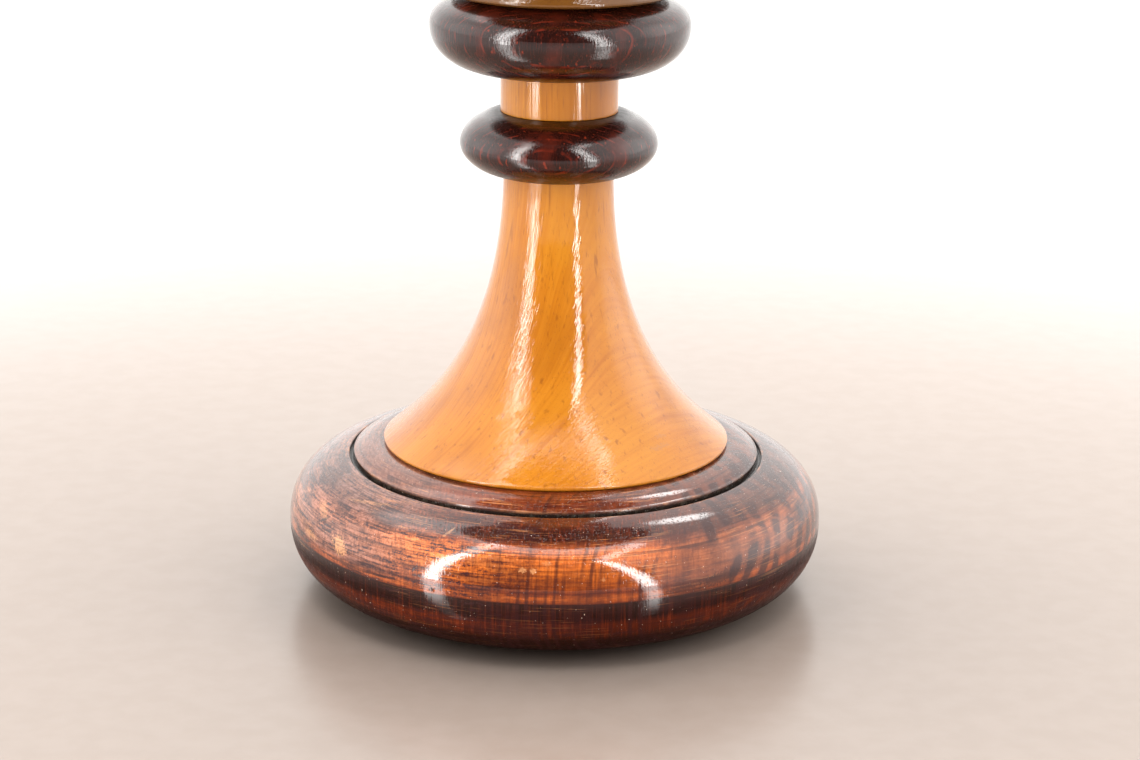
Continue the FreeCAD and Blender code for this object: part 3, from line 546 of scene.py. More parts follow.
def stain_and_painted_light_bands(g):
    """Colour of stain, painted shade and painted reflections, in bands that waver a little round the base.
    """
    wobble = g.turning_lines(1.3, 22, detail=3)
    level = g.add(g.z, g.times(g.math("SUBTRACT", wobble, 0.5), 0.0035))
    stops = [(height / BAND_SPAN, colour) for height, colour in STAIN_AND_PAINTED_LIGHT_BANDS]
    return g.ramp(g.math("DIVIDE", level, BAND_SPAN), stops)


def figure_lines(g):
    """1 on the dark lines of the figure: fine and upright at the front, wide and slanting at the right."""
    grain, distance, v, w = layered(g, PITH)
    warp = g.noise(grain, scale=18, detail=2)
    across = g.add(g.times(distance, 225), g.times(warp, 1.6))
    phase = g.math("FRACT", across)
    line = g.times(g.smooth(phase, 0.30, 0.62), g.smooth(phase, 1.0, 0.80))
    uneven = g.noise(g.join(g.times(across, 0.55), g.times(v, 25), g.times(w, 20)), detail=2)
    line = g.times(line, g.smooth(uneven, 0.40, 0.60))
    line = g.times(line, g.invert(g.times(g.right_side, 0.9)))

    patches = g.noise(g.join(g.times(across, 0.62), g.times(v, 14), g.times(w, 12)), detail=2, rough=0.6)
    wide = g.times(g.times(g.smooth(patches, 0.52, 0.62), 0.45), g.invert(g.right_side))

    diagonal = g.times(g.times(g.add(g.sideways, g.backward), g.r), 0.707)
    slant = g.add(g.times(diagonal, 80), g.times(g.z, -50))
    stripe = g.math("FRACT", g.add(slant, g.times(warp, 2.6)))
    stripe = g.times(g.smooth(stripe, 0.15, 0.50), g.smooth(stripe, 1.0, 0.72))
    stripe = g.times(stripe, g.smooth(patches, 0.38, 0.50, 0.25, 1.0))
    stripe = g.times(stripe, g.times(g.right_side, 1.35))

    figure = g.math("MAXIMUM", line, g.math("MAXIMUM", wide, stripe))
    away_from_left = g.smooth(g.sideways, -0.42, -0.10)
    return g.math("MINIMUM", g.times(figure, away_from_left), 1.0)


def stain_and_painted_light(g, figure):
    """Bands of stain, painted shade and reflection, browner at right and pinker at left, under the figure.
    """
    browner = g.times(g.smooth(g.sideways, 0.30, 0.60), g.times(g.above_band, 0.60))
    colour = g.mix(browner, stain_and_painted_light_bands(g), (0.118, 0.038, 0.021))
    pinker = g.times(g.smooth(g.sideways, -0.40, -0.75), g.above_band)
    colour = g.mix(g.times(pinker, 0.78), colour, (0.160, 0.062, 0.038))
    return g.mix(g.times(figure, g.add(0.74, g.times(g.right_side, 0.12))), colour, (0.030, 0.007, 0.006))


def with_red_between_lines(g, colour, figure):
    """Adds red between dark lines where the bands are nearly black; low on the base it is painted
    reflection.
    """
    low_zone = g.times(g.smooth(g.z, 0.014, 0.020), g.smooth(g.z, 0.0375, 0.034))
    low_zone = g.times(low_zone, g.smooth(g.z, 0.0265, 0.0285, 1.0, 0.45))
    shoulder_zone = g.times(g.smooth(g.z, 0.0615, 0.0630), g.smooth(g.z, 0.0700, 0.0685, 0.0, 0.8))
    zone = g.math("MAXIMUM", low_zone, shoulder_zone)
    # low on the base, and most at the front, this red is a painted reflection of red-brown wood below the
    # base
    red_between_lines = g.times(g.times(zone, g.invert(figure)), g.smooth(g.columns, 0.46, 0.66))
    front = g.smooth(g.backward, -0.55, -0.85)
    red_between_lines = g.times(red_between_lines, g.add(0.25, g.times(front, 0.75)))
    return g.mix(g.times(red_between_lines, 0.30), colour, (0.24, 0.034, 0.008))


def with_flecks(g, colour):
    """Adds upright light and dark lines, and flecks that are strongest at the left, across the layers."""
    upper_part = g.times(g.smooth(g.z, 0.034, 0.040, 0.35, 1.0), g.invert(g.times(g.right_side, 0.65)))
    light = g.times(g.smooth(g.columns, 0.50, 0.70, 0.0, 0.40), upper_part)
    colour = g.lighten(colour, light, (1.8, 1.8, 1.6))
    dark = g.times(g.smooth(g.columns, 0.48, 0.30, 0.0, 0.45), upper_part)
    colour = g.mix(dark, colour, (0.045, 0.009, 0.004))
    left_side = g.smooth(g.sideways, 0.05, -0.35)
    platform = g.smooth(g.r, (PLATFORM_R + 0.9) * MM, (PLATFORM_R - 0.1) * MM)
    amount = g.times(g.add(0.30, g.times(left_side, 0.70)), g.invert(g.times(platform, 0.6)))
    amount = g.times(amount, g.smooth(g.z, 0.030, 0.042, 0.45, 1.0))
    colour = g.lighten(colour, g.times(g.smooth(g.mottled, 0.50, 0.57), amount), (1.6, 2.0, 2.6))
    return g.mix(g.times(g.smooth(g.mottled, 0.50, 0.43), amount), colour, (0.036, 0.011, 0.012))


def with_scratches(g, colour):
    """Adds light scratches, smears of stain and dark lines left by turning."""
    zone = g.turning_lines(3.0, 40, detail=2)
    rubbed = g.times(g.smooth(g.scratches, 0.56, 0.64), g.smooth(zone, 0.42, 0.58))
    rubbed = g.times(rubbed, g.smooth(g.z, 0.030, 0.042, 0.30, 1.0))
    rubbed = g.times(rubbed, g.invert(g.times(g.right_side, 0.5)))
    colour = g.mix(g.times(rubbed, 0.60), colour, (0.52, 0.20, 0.070))
    away_from_front = g.smooth(g.backward, -0.80, -0.60)
    smears = g.smooth(g.turning_lines(2.6, 75, detail=4, rough=0.65), 0.50, 0.60)
    smears = g.times(smears, g.add(0.45, g.times(away_from_front, 0.25)))
    colour = g.mix(smears, colour, (0.030, 0.009, 0.009))
    dark_lines = g.smooth(g.turning_lines(1.6, 520, detail=2), 0.58, 0.66)
    return g.mix(g.times(dark_lines, 0.55), colour, (0.028, 0.006, 0.004))


def with_marks(g, colour):
    """Adds the single dark and pale marks, and the pale wear of raised edges, also a painted highlight on
    the groove's lip.
    """
    for azimuth, height, size, tilt, strength in DARK_SPOTS:
        spot = g.spot(azimuth, height, bun_radius(height), size, 0.5, tilt)
        colour = g.mix(g.times(spot, strength), colour, (0.024, 0.008, 0.008))
    broken = g.smooth(g.mottled, 0.40, 0.52, 0.45, 1.0)
    for azimuth, height, size, tilt, strength in PALE_SPOTS:
        spot = g.spot(azimuth, height, bun_radius(height), size, 0.6, tilt)
        colour = g.mix(g.times(g.times(spot, broken), strength), colour, (0.62, 0.29, 0.12))
    # pale raised edges: wear, which on the groove's lip is also a painted highlight
    patchy = g.turning_lines(9.0, 220, detail=3)
    worn_and_highlit = g.times(g.smooth(g.attribute("wear"), 0.18, 0.55), g.smooth(patchy, 0.48, 0.75, 0.0, 0.7))
    return g.mix(worn_and_highlit, colour, (0.55, 0.23, 0.10))


def groove_dirt(g):
    """(1 inside the groove, colour of the grime caked in it)."""
    inner = g.smooth(g.r, (PLATFORM_R - 0.8) * MM, (PLATFORM_R + 0.1) * MM)
    outer = g.smooth(g.r, (GROOVE_LIP_R + 0.4) * MM, (GROOVE_LIP_R - 0.6) * MM)
    groove = g.times(g.times(inner, outer), g.smooth(g.z, *GRIME_TOP))
    caked = g.smooth(g.turning_lines(26.0, 300, detail=3), 0.50, 0.64)
    return groove, g.mix(caked, (0.012, 0.008, 0.006), (0.034, 0.028, 0.021))


def base_wood(name):
    """The base: figured wood under dark stain, banded by height in stain, painted shade and reflections,
    with wear, scratches and flecks.
    """
    g = BaseGraph(name)
    figure = figure_lines(g)
    colour = stain_and_painted_light(g, figure)
    colour = with_red_between_lines(g, colour, figure)
    colour = with_flecks(g, colour)
    colour = with_scratches(g, colour)
    colour = with_marks(g, colour)
    groove, grime = groove_dirt(g)
    colour = g.mix(groove, colour, grime)
    dust = g.smooth(g.noise(g.place, scale=1250, detail=0), 0.835, 0.86)
    colour = g.mix(g.times(dust, 0.7), colour, (0.62, 0.46, 0.36))
    dirt = g.noise(g.place, scale=420, detail=3)
    roughness = g.add(g.smooth(dirt, 0.2, 0.8, 0.30, 0.48), g.times(groove, 0.25))
    pits = g.smooth(g.noise(g.place, scale=850, detail=2), 0.60, 0.74)
    relief = g.add(g.times(g.columns, 0.90), g.times(g.scratches, 0.35))
    relief = g.add(relief, g.times(pits, -0.5))
    # the varnish is pitted on the shoulder, and worn dull below the dark band
    shoulder = g.smooth(g.z, 0.052, 0.062)
    waves = g.add(g.times(g.columns, 0.34), g.times(pits, g.smooth(shoulder, 0.0, 1.0, -0.18, -1.3)))
    waves = g.add(waves, g.times(g.noise(g.place, scale=120, detail=1), 0.8))
    worn_coat = {**VARNISH, "Coat_Weight": g.smooth(g.z, 0.029, 0.0395, 0.05, 1.0)}
    under = g.bump(relief, 0.00018, 0.8)
    return g.shade(colour, roughness, under, g.bump(waves, 0.000085, 0.9), **worn_coat)


# ---- the woods of the rings, top, block and battens
def ring_wood(name, seed, node, collar):
    """Nearly black red-brown wood with thin red contour lines, for the ring next to a collar."""
    g = Graph(name)
    _, _, r, z = g.around()
    grain, distance, _, _ = layered(g, (0.035 * (2 - seed) - 0.006, 0.26, 0), (0.5 * seed, -1.0, 0))
    warp = g.noise(grain, scale=30, detail=3)
    across = g.add(g.times(distance, 265), g.times(warp, 1.7))
    phase = g.math("FRACT", g.add(across, 0.37 * seed))
    line = g.times(g.smooth(phase, 0.70, 0.90), g.smooth(phase, 1.0, 0.93))
    broken = g.noise(grain, scale=170, detail=3)
    line = g.times(line, g.smooth(broken, 0.40, 0.70))
    streaks = g.noise(g.map(grain, scale=(1200, 1200, 60)), detail=3, rough=0.65)
    colour = g.ramp(streaks, RING_RAMP)
    blotch = g.noise(g.map(grain, scale=(60, 60, 30)), detail=3)
    colour = g.mix(g.smooth(blotch, 0.50, 0.72, 0.0, 0.55), colour, (0.085, 0.010, 0.004))
    colour = g.mix(g.times(line, 0.50), colour, (0.22, 0.022, 0.008))
    flecks = g.smooth(g.noise(g.map(grain, scale=(560, 560, 230)), detail=2), 0.66, 0.74)
    colour = g.mix(g.times(flecks, 0.50), colour, (0.26, 0.030, 0.010))
    # the colour darkens towards the collar: painted shade in the corner where ring and collar meet, and on a
    # ring's top a painted reflection of the dark ring above; the varnish is thin there and underneath
    near = (radius(collar) + 1.5) * MM
    bottom = low(node) * MM
    colour = g.mix(g.smooth(r, near + 0.012, near, 0.0, 0.75), colour, (0.005, 0.0015, 0.0011))
    varnished = g.smooth(z, bottom + 0.001, bottom + 0.008, 0.30, 1.0)
    varnished = g.times(varnished, g.smooth(r, near, near + 0.008, 0.35, 1.0))
    thin_coat = {**VARNISH, "Coat_Weight": varnished}
    roughness = g.smooth(g.noise(g.place, scale=260, detail=3), 0.25, 0.75, 0.28, 0.45)
    relief = g.add(g.times(streaks, 0.9), g.times(g.turning_lines(5.0, 900), 0.25))
    waves = g.add(g.times(streaks, 0.75), g.times(g.noise(g.place, scale=110, detail=1), 0.6))
    under = g.bump(relief, 0.00018, 0.8)
    return g.shade(colour, roughness, under, g.bump(waves, 0.000105, 0.9), **thin_coat)


def board_place(g):
    """Place within a board: fibres along the first axis, and every board from another part of the tree."""
    x, y, z = g.split(g.place)
    half = -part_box("field_board_1")[0].y
    low_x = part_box("field_board_2")[0].x
    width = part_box("field_board_2")[1].x - low_x
    index = g.math("FLOOR", g.math("DIVIDE", g.math("SUBTRACT", x, low_x), width))
    middle = g.add(low_x + width / 2, g.times(index, width))
    flip = g.math("SUBTRACT", g.times(g.math("PINGPONG", index, 1.0), 2.0), 1.0)
    along = g.add(y, g.times(index, half * 3.1))
    across = g.add(g.times(g.math("SUBTRACT", x, middle), flip), g.times(index, 0.004))
    return along, across, g.add(z, g.times(index, 0.002))


def rim_place(g):
    """Place within a rim segment: fibres run along its chord."""
    x, y, z = g.split(g.place)
    sector = math.pi / 4
    turn = g.math("FLOOR", g.add(g.math("DIVIDE", g.math("ARCTAN2", y, x), sector), 0.5))
    angle = g.times(turn, sector)
    cosine, sine = g.math("COSINE", angle), g.math("SINE", angle)
    outward = g.add(g.times(x, cosine), g.times(y, sine))
    along = g.math("SUBTRACT", g.times(y, cosine), g.times(x, sine))
    return g.add(along, g.times(turn, 0.7)), g.math("SUBTRACT", outward, 0.2), z


def cross_place(g):
    """Place in a piece whose fibres run along Y."""
    x, y, z = g.split(g.place)
    return y, x, z


def length_place(g):
    """Place in a piece whose fibres run along X."""
    x, y, z = g.split(g.place)
    return g.add(x, g.times(g.math("SIGN", y), 0.8)), y, z


def plank_wood(name, locate, heart, ring_rate, tones, line_colour, pore_colour):
    """Varnished flat wood, figured round its heart; locate gives (along the fibres, across, up)."""
    g = Graph(name)
    along, across, up = locate(g)
    place = g.join(g.times(along, 0.06), across, up)
    warp = g.noise(place, scale=20, detail=3)
    slope = g.times(along, 0.022)
    side = g.math("SUBTRACT", across, heart[0])
    above = g.add(g.math("SUBTRACT", up, heart[1]), slope)
    distance = g.math("SQRT", g.add(g.times(side, side), g.times(above, above)))
    phase = g.math("FRACT", g.add(g.times(distance, ring_rate), g.times(warp, 1.0)))
    late = g.times(g.smooth(phase, 0.30, 0.90), g.smooth(phase, 1.0, 0.95))
    fibres = g.noise(g.join(g.times(along, 14), g.times(across, 900), g.times(up, 900)), detail=3, rough=0.6)
    pore_field = g.noise(g.join(g.times(along, 60), g.times(across, 1700), g.times(up, 1700)), detail=2)
    pores = g.smooth(pore_field, 0.60, 0.72)
    cloud = g.noise(place, scale=18, detail=3)
    tone = g.add(g.times(fibres, 0.55), g.times(cloud, 0.45))
    colour = g.ramp(tone, list(zip((0.32, 0.50, 0.68), tones)))
    colour = g.mix(g.times(late, 0.50), colour, line_colour)
    colour = g.mix(g.times(pores, 0.50), colour, pore_colour)
    marks = g.noise(g.place, scale=70, detail=4, rough=0.7)
    colour = g.mix(g.smooth(marks, 0.66, 0.74, 0.0, 0.35), colour, pore_colour)
    relief = g.add(fibres, g.times(pores, -0.6))
    scratch = g.noise(g.map(g.place, rotation=(0, 0, 33), scale=(900, 18, 18)), detail=2)
    waves = g.add(relief, g.times(g.smooth(scratch, 0.68, 0.74), -0.6))
    waves = g.add(waves, g.times(g.noise(g.place, scale=110, detail=1), 1.2))
    roughness = g.smooth(cloud, 0.3, 0.7, 0.34, 0.48)
    return g.shade(colour, roughness, g.bump(relief, 0.000168, 0.9), g.bump(waves, 0.00012, 0.9), **VARNISH)


def metal(name, fresh, tarnish, lines, amount):
    """Turned or drawn metal, tarnished in patches, with fine lines across the given axis."""
    g = Graph(name)
    scale = [1600 if axis in lines else 60 for axis in "xyz"]
    drawn = g.noise(g.map(g.place, scale=scale), detail=3, rough=0.65)
    patches = g.noise(g.place, scale=160, detail=5, rough=0.65)
    specks = g.noise(g.place, scale=1100, detail=3)
    spoiled = g.smooth(patches, 0.44, 0.68, 0.0, amount)
    spoiled = g.math("MAXIMUM", spoiled, g.smooth(specks, 0.62, 0.72, 0.0, amount))
    colour = g.mix(spoiled, fresh, tarnish)
    roughness = g.add(g.smooth(drawn, 0.3, 0.7, 0.20, 0.34), g.times(spoiled, 0.25))
    normal = g.bump(g.add(drawn, g.times(patches, 0.8)), 0.00006, 0.8)
    return g.shade(colour, roughness, normal, Metallic=1.0)


# ---------------------------------------------------------------- pedestal pieces
BORE = 5.5
BASE_SPIGOT = 24
LOWER_TENON = 18
UPPER_TENON = 15
PLAY = 0.1  # how much wider a ring's bore is than the tenon in it
GROOVE_TOP_Z = 70.2


def base_outline():
    """The bun: foot ring, full sides, shoulder, groove, and a platform with a crowned top."""
    widest = radius("base_bun")
    top = high("base_bun")
    radial, vertical, squareness = BUN_BULGE["below"]
    lower = quarter((widest - radial, BUN_EQUATOR), (radial, -vertical), squareness)
    radial, vertical, squareness = BUN_BULGE["above"]
    upper = quarter((widest - radial, BUN_EQUATOR), (radial, vertical), squareness)
    shoulder = [p for p in upper[1:] if p[0] > GROOVE_LIP_R + 0.9]
    groove = rounded(
        [
            (*shoulder[-1], 0),
            (GROOVE_LIP_R, 69.9, 0.7),
            (PLATFORM_R + 1.2, 67.0, 0.6),
            (PLATFORM_R, 67.8, 0.4),
            (PLATFORM_R, GROOVE_TOP_Z, 0),
        ]
    )
    edge_r = PLATFORM_R - 0.9
    seat_r = radius("lower_trumpet") - 2.5
    fall = 5.3
    steps = 24
    crown = []
    for step in range(steps + 1):
        share = step / steps
        r = edge_r - (edge_r - seat_r) * share
        crown.append((r, top - fall * ((r - seat_r) / (PLATFORM_R - seat_r)) ** 2.4))
    edge = rounded([(PLATFORM_R, GROOVE_TOP_Z, 0), (PLATFORM_R, crown[0][1] - 0.1, 0.6), (*crown[0], 0)])
    socket_r = BASE_SPIGOT + 0.2
    socket_floor = top - 12.5
    recess_r, recess_top = 20.0, 21.0
    foot_inner, foot_outer, foot_height = 72.0, 93.0, 3.0
    inside = rounded(
        [
            (socket_r, top, 0),
            (socket_r, socket_floor, 0),
            (BORE, socket_floor, 0),
            (BORE, recess_top, 0),
            (recess_r, recess_top, 0),
            (recess_r, foot_height, 0.6),
            (foot_inner - 4.0, foot_height, 1.5),
            (foot_inner, 0.0, 0.8),
            (foot_outer, 0.0, 0),
        ]
    )
    return lower[::-1] + shoulder + groove[1:] + edge[1:] + crown[1:] + inside


def trumpet_outline(foot_z, foot_r, top_z, neck_r, spigot, tenon):
    """A flared piece with an upright lip round its foot and a slight reveal where it sits down.

    spigot and tenon are (radius, length) of its lower and upper ends.
    """
    lip_z = foot_z + 2.3
    height = top_z - lip_z
    scale = 0.39 * height
    opening = (foot_r - neck_r) / (math.cosh(height / scale) - 1)
    steps = 89
    flare = []
    for step in range(1, steps + 1):
        below = height * (1 - (step / steps) ** 0.8)
        flare.append((neck_r + opening * (math.cosh(below / scale) - 1), top_z - below))
    foot = rounded(
        [
            (foot_r - 1.6, foot_z, 0),
            (foot_r - 1.1, foot_z + 0.5, 0.3),
            (foot_r - 0.15, foot_z + 0.9, 0.4),
            (foot_r, lip_z - 0.1, 0.5),
            (*flare[0], 0),
        ]
    )
    tenon_end = top_z + tenon[1]
    spigot_end = foot_z - spigot[1]
    inside = [
        (tenon[0], top_z),
        (tenon[0], tenon_end),
        (BORE, tenon_end),
        (BORE, spigot_end),
        (spigot[0], spigot_end),
        (spigot[0], foot_z),
    ]
    return foot + flare[1:] + inside


def ring_outline(bottom, top, widest, bulge, widest_z, squareness, bore):
    """A half-round ring with flat seats, whose side stands out by bulge."""
    seat = widest - bulge
    lower = quarter((seat, widest_z), (bulge, bottom - widest_z), squareness)
    upper = quarter((seat, widest_z), (bulge, top - widest_z), squareness)
    return lower[::-1] + upper[1:] + [(bore, top), (bore, bottom)]


def collar_outline(bottom, top, r, low_end, high_end, tenon):
    """A plain turned collar whose ends are eased, with a tenon at each end."""
    ease = 0.35
    body = rounded([(tenon, bottom, 0), (r, bottom, ease), (r, top, ease), (tenon, top, 0)])
    return [(BORE, low_end), (tenon, low_end)] + body + [(tenon, high_end), (BORE, high_end)]


def build_trumpet(node, seat, ring, neck, spigot, tenon, wood, segments=400):
    """The flared piece that stands on the node seat and carries the node ring."""
    foot = high(seat)
    top = low(ring)
    ends = (spigot, foot - low(node)), (tenon, high(node) - top)
    outline = trumpet_outline(foot, radius(node), top, neck, *ends)
    turned(f"{node}_turned", outline, wood, [node], segments=segments)


def build_collar(node, ring_below, ring_above, tenon, wood):
    """The plain collar between two rings."""
    outline = collar_outline(high(ring_below), low(ring_above), radius(node), low(node), high(node), tenon)
    turned(f"{node}_turned", outline, wood, [node])


def build_ring(node, seed, collar, bulge, rise, squareness, tenon, segments=400):
    """A dark ring, widest at rise above its lower seat; collar is the node that it touches."""
    bottom = low(node)
    outline = ring_outline(bottom, high(node), radius(node), bulge, bottom + rise, squareness, tenon + PLAY)
    wood = ring_wood(f"dark_wood_{node}", seed, node, collar)
    turned(f"{node}_turned", outline, wood, [node], segments=segments)


def build_pedestal():
    lower_gold = gold_wood("golden_wood_lower", 0, fibre=(1.0, 0.6, 0))
    collar_gold = gold_wood("golden_wood_collar", 1, fibre=(1.0, -1.0, 0))
    darkened_to = (high("centre_ring") + 6.0) * MM
    upper_gold = gold_wood("golden_wood_upper", 2, fibre=(-2.0, 2.0, 0), darkened_to=darkened_to)
    turned("base_turned", base_outline(), base_wood("stained_base_and_painted_light"), ["base_bun"],
           segments=640, step=1.1, dents=BUN_DENTS)
    build_trumpet("lower_trumpet", "base_bun", "lower_ring", 28.45, BASE_SPIGOT, LOWER_TENON,
                  lower_gold, segments=512)
    build_ring("lower_ring", 1, "lower_collar", 22.3, 15.4, 1.9, LOWER_TENON)
    build_collar("lower_collar", "lower_ring", "centre_ring", LOWER_TENON, collar_gold)
    build_ring("centre_ring", 2, "lower_collar", 32.5, 23.4, 2.2, LOWER_TENON, segments=448)
    build_trumpet("upper_trumpet", "centre_ring", "upper_ring", 24.5, LOWER_TENON, UPPER_TENON, upper_gold)
    build_ring("upper_ring", 3, "upper_collar", 17.0, 13.2, 1.95, UPPER_TENON)
    build_collar("upper_collar", "upper_ring", "cap_ring", UPPER_TENON, collar_gold)
    build_ring("cap_ring", 4, "upper_collar", 21.0, 15.2, 2.1, UPPER_TENON)


# ---------------------------------------------------------------- top, block and hardware
def dress(node, material, ease=0.0):
    """Gives a CAD node its material, and eases its sharp edges by that many millimetres."""
    piece = nodes[node]
    piece.data.materials.clear()
    piece.data.materials.append(material)
    if ease:
        piece.modifiers.new("join", "WELD").merge_threshold = 0.00001
        bevel = piece.modifiers.new("ease", "BEVEL")
        bevel.width = ease * MM
        bevel.segments = 3
        bevel.limit_method = "ANGLE"
        bevel.angle_limit = math.radians(40)
        bevel.harden_normals = True


# Tones of the woods of the top, block and battens
GOLD_TONES = ((0.47, 0.168, 0.0130), (0.43, 0.146, 0.0095), (0.36, 0.110, 0.0065))
DARK_TONES = ((0.014, 0.0032, 0.0020), (0.034, 0.0062, 0.0032), (0.085, 0.012, 0.0050))
DARK_PORE = (0.012, 0.004, 0.003)
RED_LINE = (0.20, 0.022, 0.007)
BRIGHT_RED_LINE = (0.24, 0.026, 0.008)
GOLD_RINGS, DARK_RINGS = 330, 230  # growth rings in a metre


def build_top():
    boards = plank_wood("golden_boards", board_place, (0.010, 0.555), GOLD_RINGS, GOLD_TONES,
                        (0.30, 0.084, 0.005), (0.17, 0.042, 0.004))
    dark = (DARK_RINGS, DARK_TONES)
    rim = plank_wood("dark_rim", rim_place, (-0.06, -0.09), *dark, RED_LINE, DARK_PORE)
    block = plank_wood("dark_block", cross_place, (0.02, 0.50), *dark, BRIGHT_RED_LINE, DARK_PORE)
    batten = plank_wood("dark_batten", length_place, (0.0, 0.48), *dark, RED_LINE, DARK_PORE)
    for node in nodes:
        if node.startswith("field_board"):
            dress(node, boards, 0.5)
        elif node.startswith("rim_segment"):
            dress(node, rim, 0.35)
        elif node in ("batten_front", "batten_back"):
            dress(node, batten, 0.6)
    dress("pivot_block", block, 0.8)


def build_hardware():
    brass = metal("aged_brass", (0.74, 0.50, 0.20), (0.30, 0.17, 0.07), "yz", 0.75)
    steel = metal("plain_steel", (0.52, 0.51, 0.50), (0.20, 0.13, 0.09), "xy", 0.6)
    slots = {row["node"]: row["material_slot"] for row in record["subparts"]}
    for node, slot in slots.items():
        if slot == "brass":
            dress(node, brass, 0.2 if node in ("strike_plate", "catch_plate") else 0.0)
        elif slot == "steel":
            dress(node, steel, 0.2 if node.endswith("washer") else 0.0)


# ---------------------------------------------------------------- the room
def build_floor():
    """A plain pale floor, lit by the same soft white surround as the table."""
    g = Graph("pale_floor")
    x, y, _ = g.split(g.place)
    speckle = g.noise(g.place, scale=60, detail=4)
    near = g.mix(g.smooth(speckle, 0.3, 0.7), (0.372, 0.305, 0.262), (0.388, 0.320, 0.277))
    distance = g.math("SQRT", g.add(g.times(x, x), g.times(y, y)))
    colour = g.mix(g.smooth(distance, 0.35, 1.15), near, (0.60, 0.59, 0.58))
    # seen from below, the floor is clear, so that the underside of the table can be looked at
    from_below = g.node("ShaderNodeNewGeometry").outputs["Backfacing"]
    material = g.shade(colour, 0.26, None, Alpha=g.invert(from_below))
    half = 30.0
    mesh = bpy.data.meshes.new("floor")
    corners = [(-half, -half, 0), (half, -half, 0), (half, half, 0), (-half, half, 0)]
    mesh.from_pydata(corners, [], [(0, 1, 2, 3)])
    mesh.materials.append(material)
    floor = bpy.data.objects.new("floor", mesh)
    scene.collection.objects.link(floor)
    return floor


# Brighter places of the surround: direction, angular radius in radians, added level
GLOWS = [
    ((0.286, 0.561, 0.777), 0.11, 13.0),
    ((-0.40, 0.35, 0.85), 0.30, 2.5),
    ((-0.95, 0.10, 0.30), 0.50, 0.8),
    ((0.95, 0.20, 0.30), 0.50, 1.3),
]


def build_surround():
    """A white surround with a dim opening in front of the pedestal, which dark glossy wood reflects."""
    world = bpy.data.worlds.new("studio")
    scene.world = world
    g = Graph("studio", world)
    x, y, z = g.split(g.place)
    azimuth = g.math("DEGREES", g.math("ARCTAN2", x, g.times(y, -1)))
    elevation = g.math("DEGREES", g.math("ARCSINE", z))
    # the right edge of the opening leans in towards the top
    lean = g.smooth(elevation, 25, 60, 0.0, 16.0)
    from_right = g.add(azimuth, lean)
    across = g.times(g.smooth(azimuth, -50, -45), g.smooth(from_right, 46, 41))
    opening = g.times(across, g.smooth(elevation, 67, 60))
    ceiling = g.smooth(elevation, 66, 74, 0.0, 3.4)
    lit = g.add(g.smooth(elevation, -5, 50, 1.70, 1.75), ceiling)
    level = g.add(g.times(lit, g.invert(opening)), g.times(opening, 0.02))
    for towards, reach, glow in GLOWS:
        spotlight = g.spotlight(g.place, towards, math.cos(reach), math.cos(reach / 3))
        level = g.add(level, g.times(spotlight, glow))
    # the camera itself sees plain white
    camera_ray = g.node("ShaderNodeLightPath").outputs["Is Camera Ray"]
    shown = g.add(camera_ray, g.times(g.invert(camera_ray), level))
    background = g.node("ShaderNodeBackground")
    background.inputs["Color"].default_value = (1.0, 0.985, 0.965, 1.0)
    g.put(background.inputs["Strength"], shown)
    output = g.node("ShaderNodeOutputWorld")
    g.tree.links.new(background.outputs[0], output.inputs[0])


def build_strip(name, low_end, high_end, width, brightness, lit):
    """A soft strip light that faces the foot of the pedestal; lit is the collection it is linked to."""
    light = bpy.data.lights.new(name, "AREA")
    light.shape = "RECTANGLE"
    length = (high_end - low_end).length
    light.size, light.size_y = width, length
    light.energy = brightness * math.pi * width * length
    light.color = (1.0, 0.98, 0.96)
    strip = bpy.data.objects.new(name, light)
    middle = (low_end + high_end) / 2
    up = (high_end - low_end).normalized()
    back = middle - up * middle.dot(up)
    back.normalize()
    side = up.cross(back)
    strip.matrix_world = Matrix.Translation(middle) @ Matrix((side, up, back)).transposed().to_4x4()
    strip.visible_camera = False
    strip.light_linking.receiver_collection = lit
    strip.light_linking.blocker_collection = lit
    scene.collection.objects.link(strip)


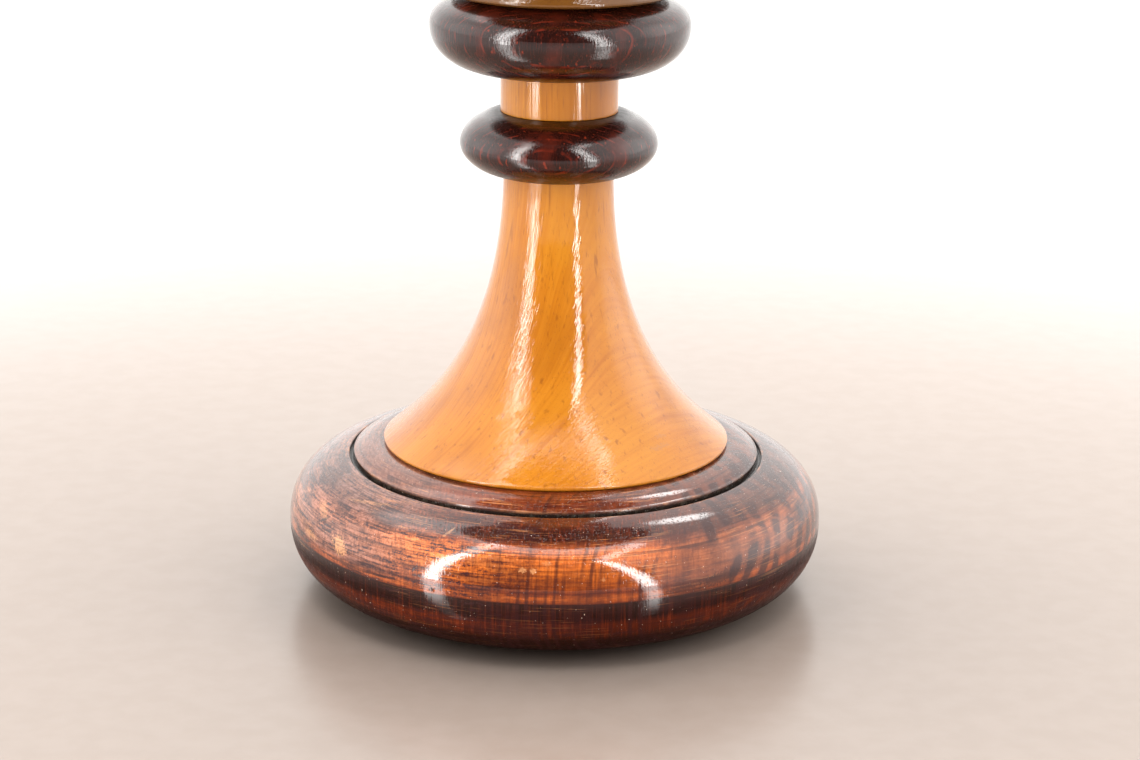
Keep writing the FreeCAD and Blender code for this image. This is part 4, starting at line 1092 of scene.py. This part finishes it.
def aloft(azimuth, elevation, distance):
    """The point seen from the foot of the pedestal in this direction, at this distance."""
    a, e = math.radians(azimuth), math.radians(elevation)
    return Vector((math.sin(a) * math.cos(e), -math.cos(a) * math.cos(e), math.sin(e))) * distance


def build_lights(floor):
    """A strip light stands at each edge of the dim opening, and leans over the pedestal at its top.

    The strips do not light the floor, which stays evenly pale. Two weaker ones under it stand for the
    mirror images of the strips in a glossy floor.
    """
    lit = bpy.data.collections.new("lit_by_strips")
    lit.objects.link(floor)
    lit.collection_objects[0].light_linking.link_state = "EXCLUDE"
    build_strip("left_strip", aloft(-49, 0, 1.3), aloft(-49, 53, 2.18), 0.155, 26.0, lit)
    build_strip("left_strip_top", aloft(-50, 54, 2.2), aloft(-66, 75, 2.2), 0.20, 9.0, lit)
    build_strip("right_strip", aloft(38, 0, 1.3), aloft(25, 53, 2.18), 0.115, 26.0, lit)
    build_strip("right_strip_top", aloft(27, 54, 2.2), aloft(56, 65, 2.2), 0.17, 9.0, lit)
    build_strip("left_strip_mirrored", aloft(-49, -0.5, 1.3), aloft(-49, -50, 2.0), 0.17, 9.0, lit)
    build_strip("right_strip_mirrored", aloft(38, -0.5, 1.3), aloft(44, -38, 1.65), 0.13, 9.0, lit)
    build_strip("right_strip_end", aloft(57, 65, 2.2), aloft(80, 69, 2.2), 0.20, 8.0, lit)


def build_camera():
    """A long lens, nearly level with the table top, that looks down at the foot of the pedestal."""
    camera = bpy.data.objects.new("camera", bpy.data.cameras.new("camera"))
    scene.collection.objects.link(camera)
    camera.data.sensor_width = 36.0
    camera.data.lens = 88.4
    camera.data.clip_start = 0.05
    camera.location = (0.0, -1.4064, 0.5279)
    pitch, yaw, roll = 0.29003, 0.0051, 0.01248  # radians
    forward = Vector((math.sin(yaw) * math.cos(pitch), math.cos(yaw) * math.cos(pitch), -math.sin(pitch)))
    camera.rotation_mode = "QUATERNION"
    camera.rotation_quaternion = forward.to_track_quat("-Z", "Y") @ Quaternion((0, 0, 1), roll)
    scene.camera = camera


def main():
    scene.view_settings.view_transform = "Standard"
    build_camera()
    build_surround()
    build_lights(build_floor())
    build_pedestal()
    build_top()
    build_hardware()


main()
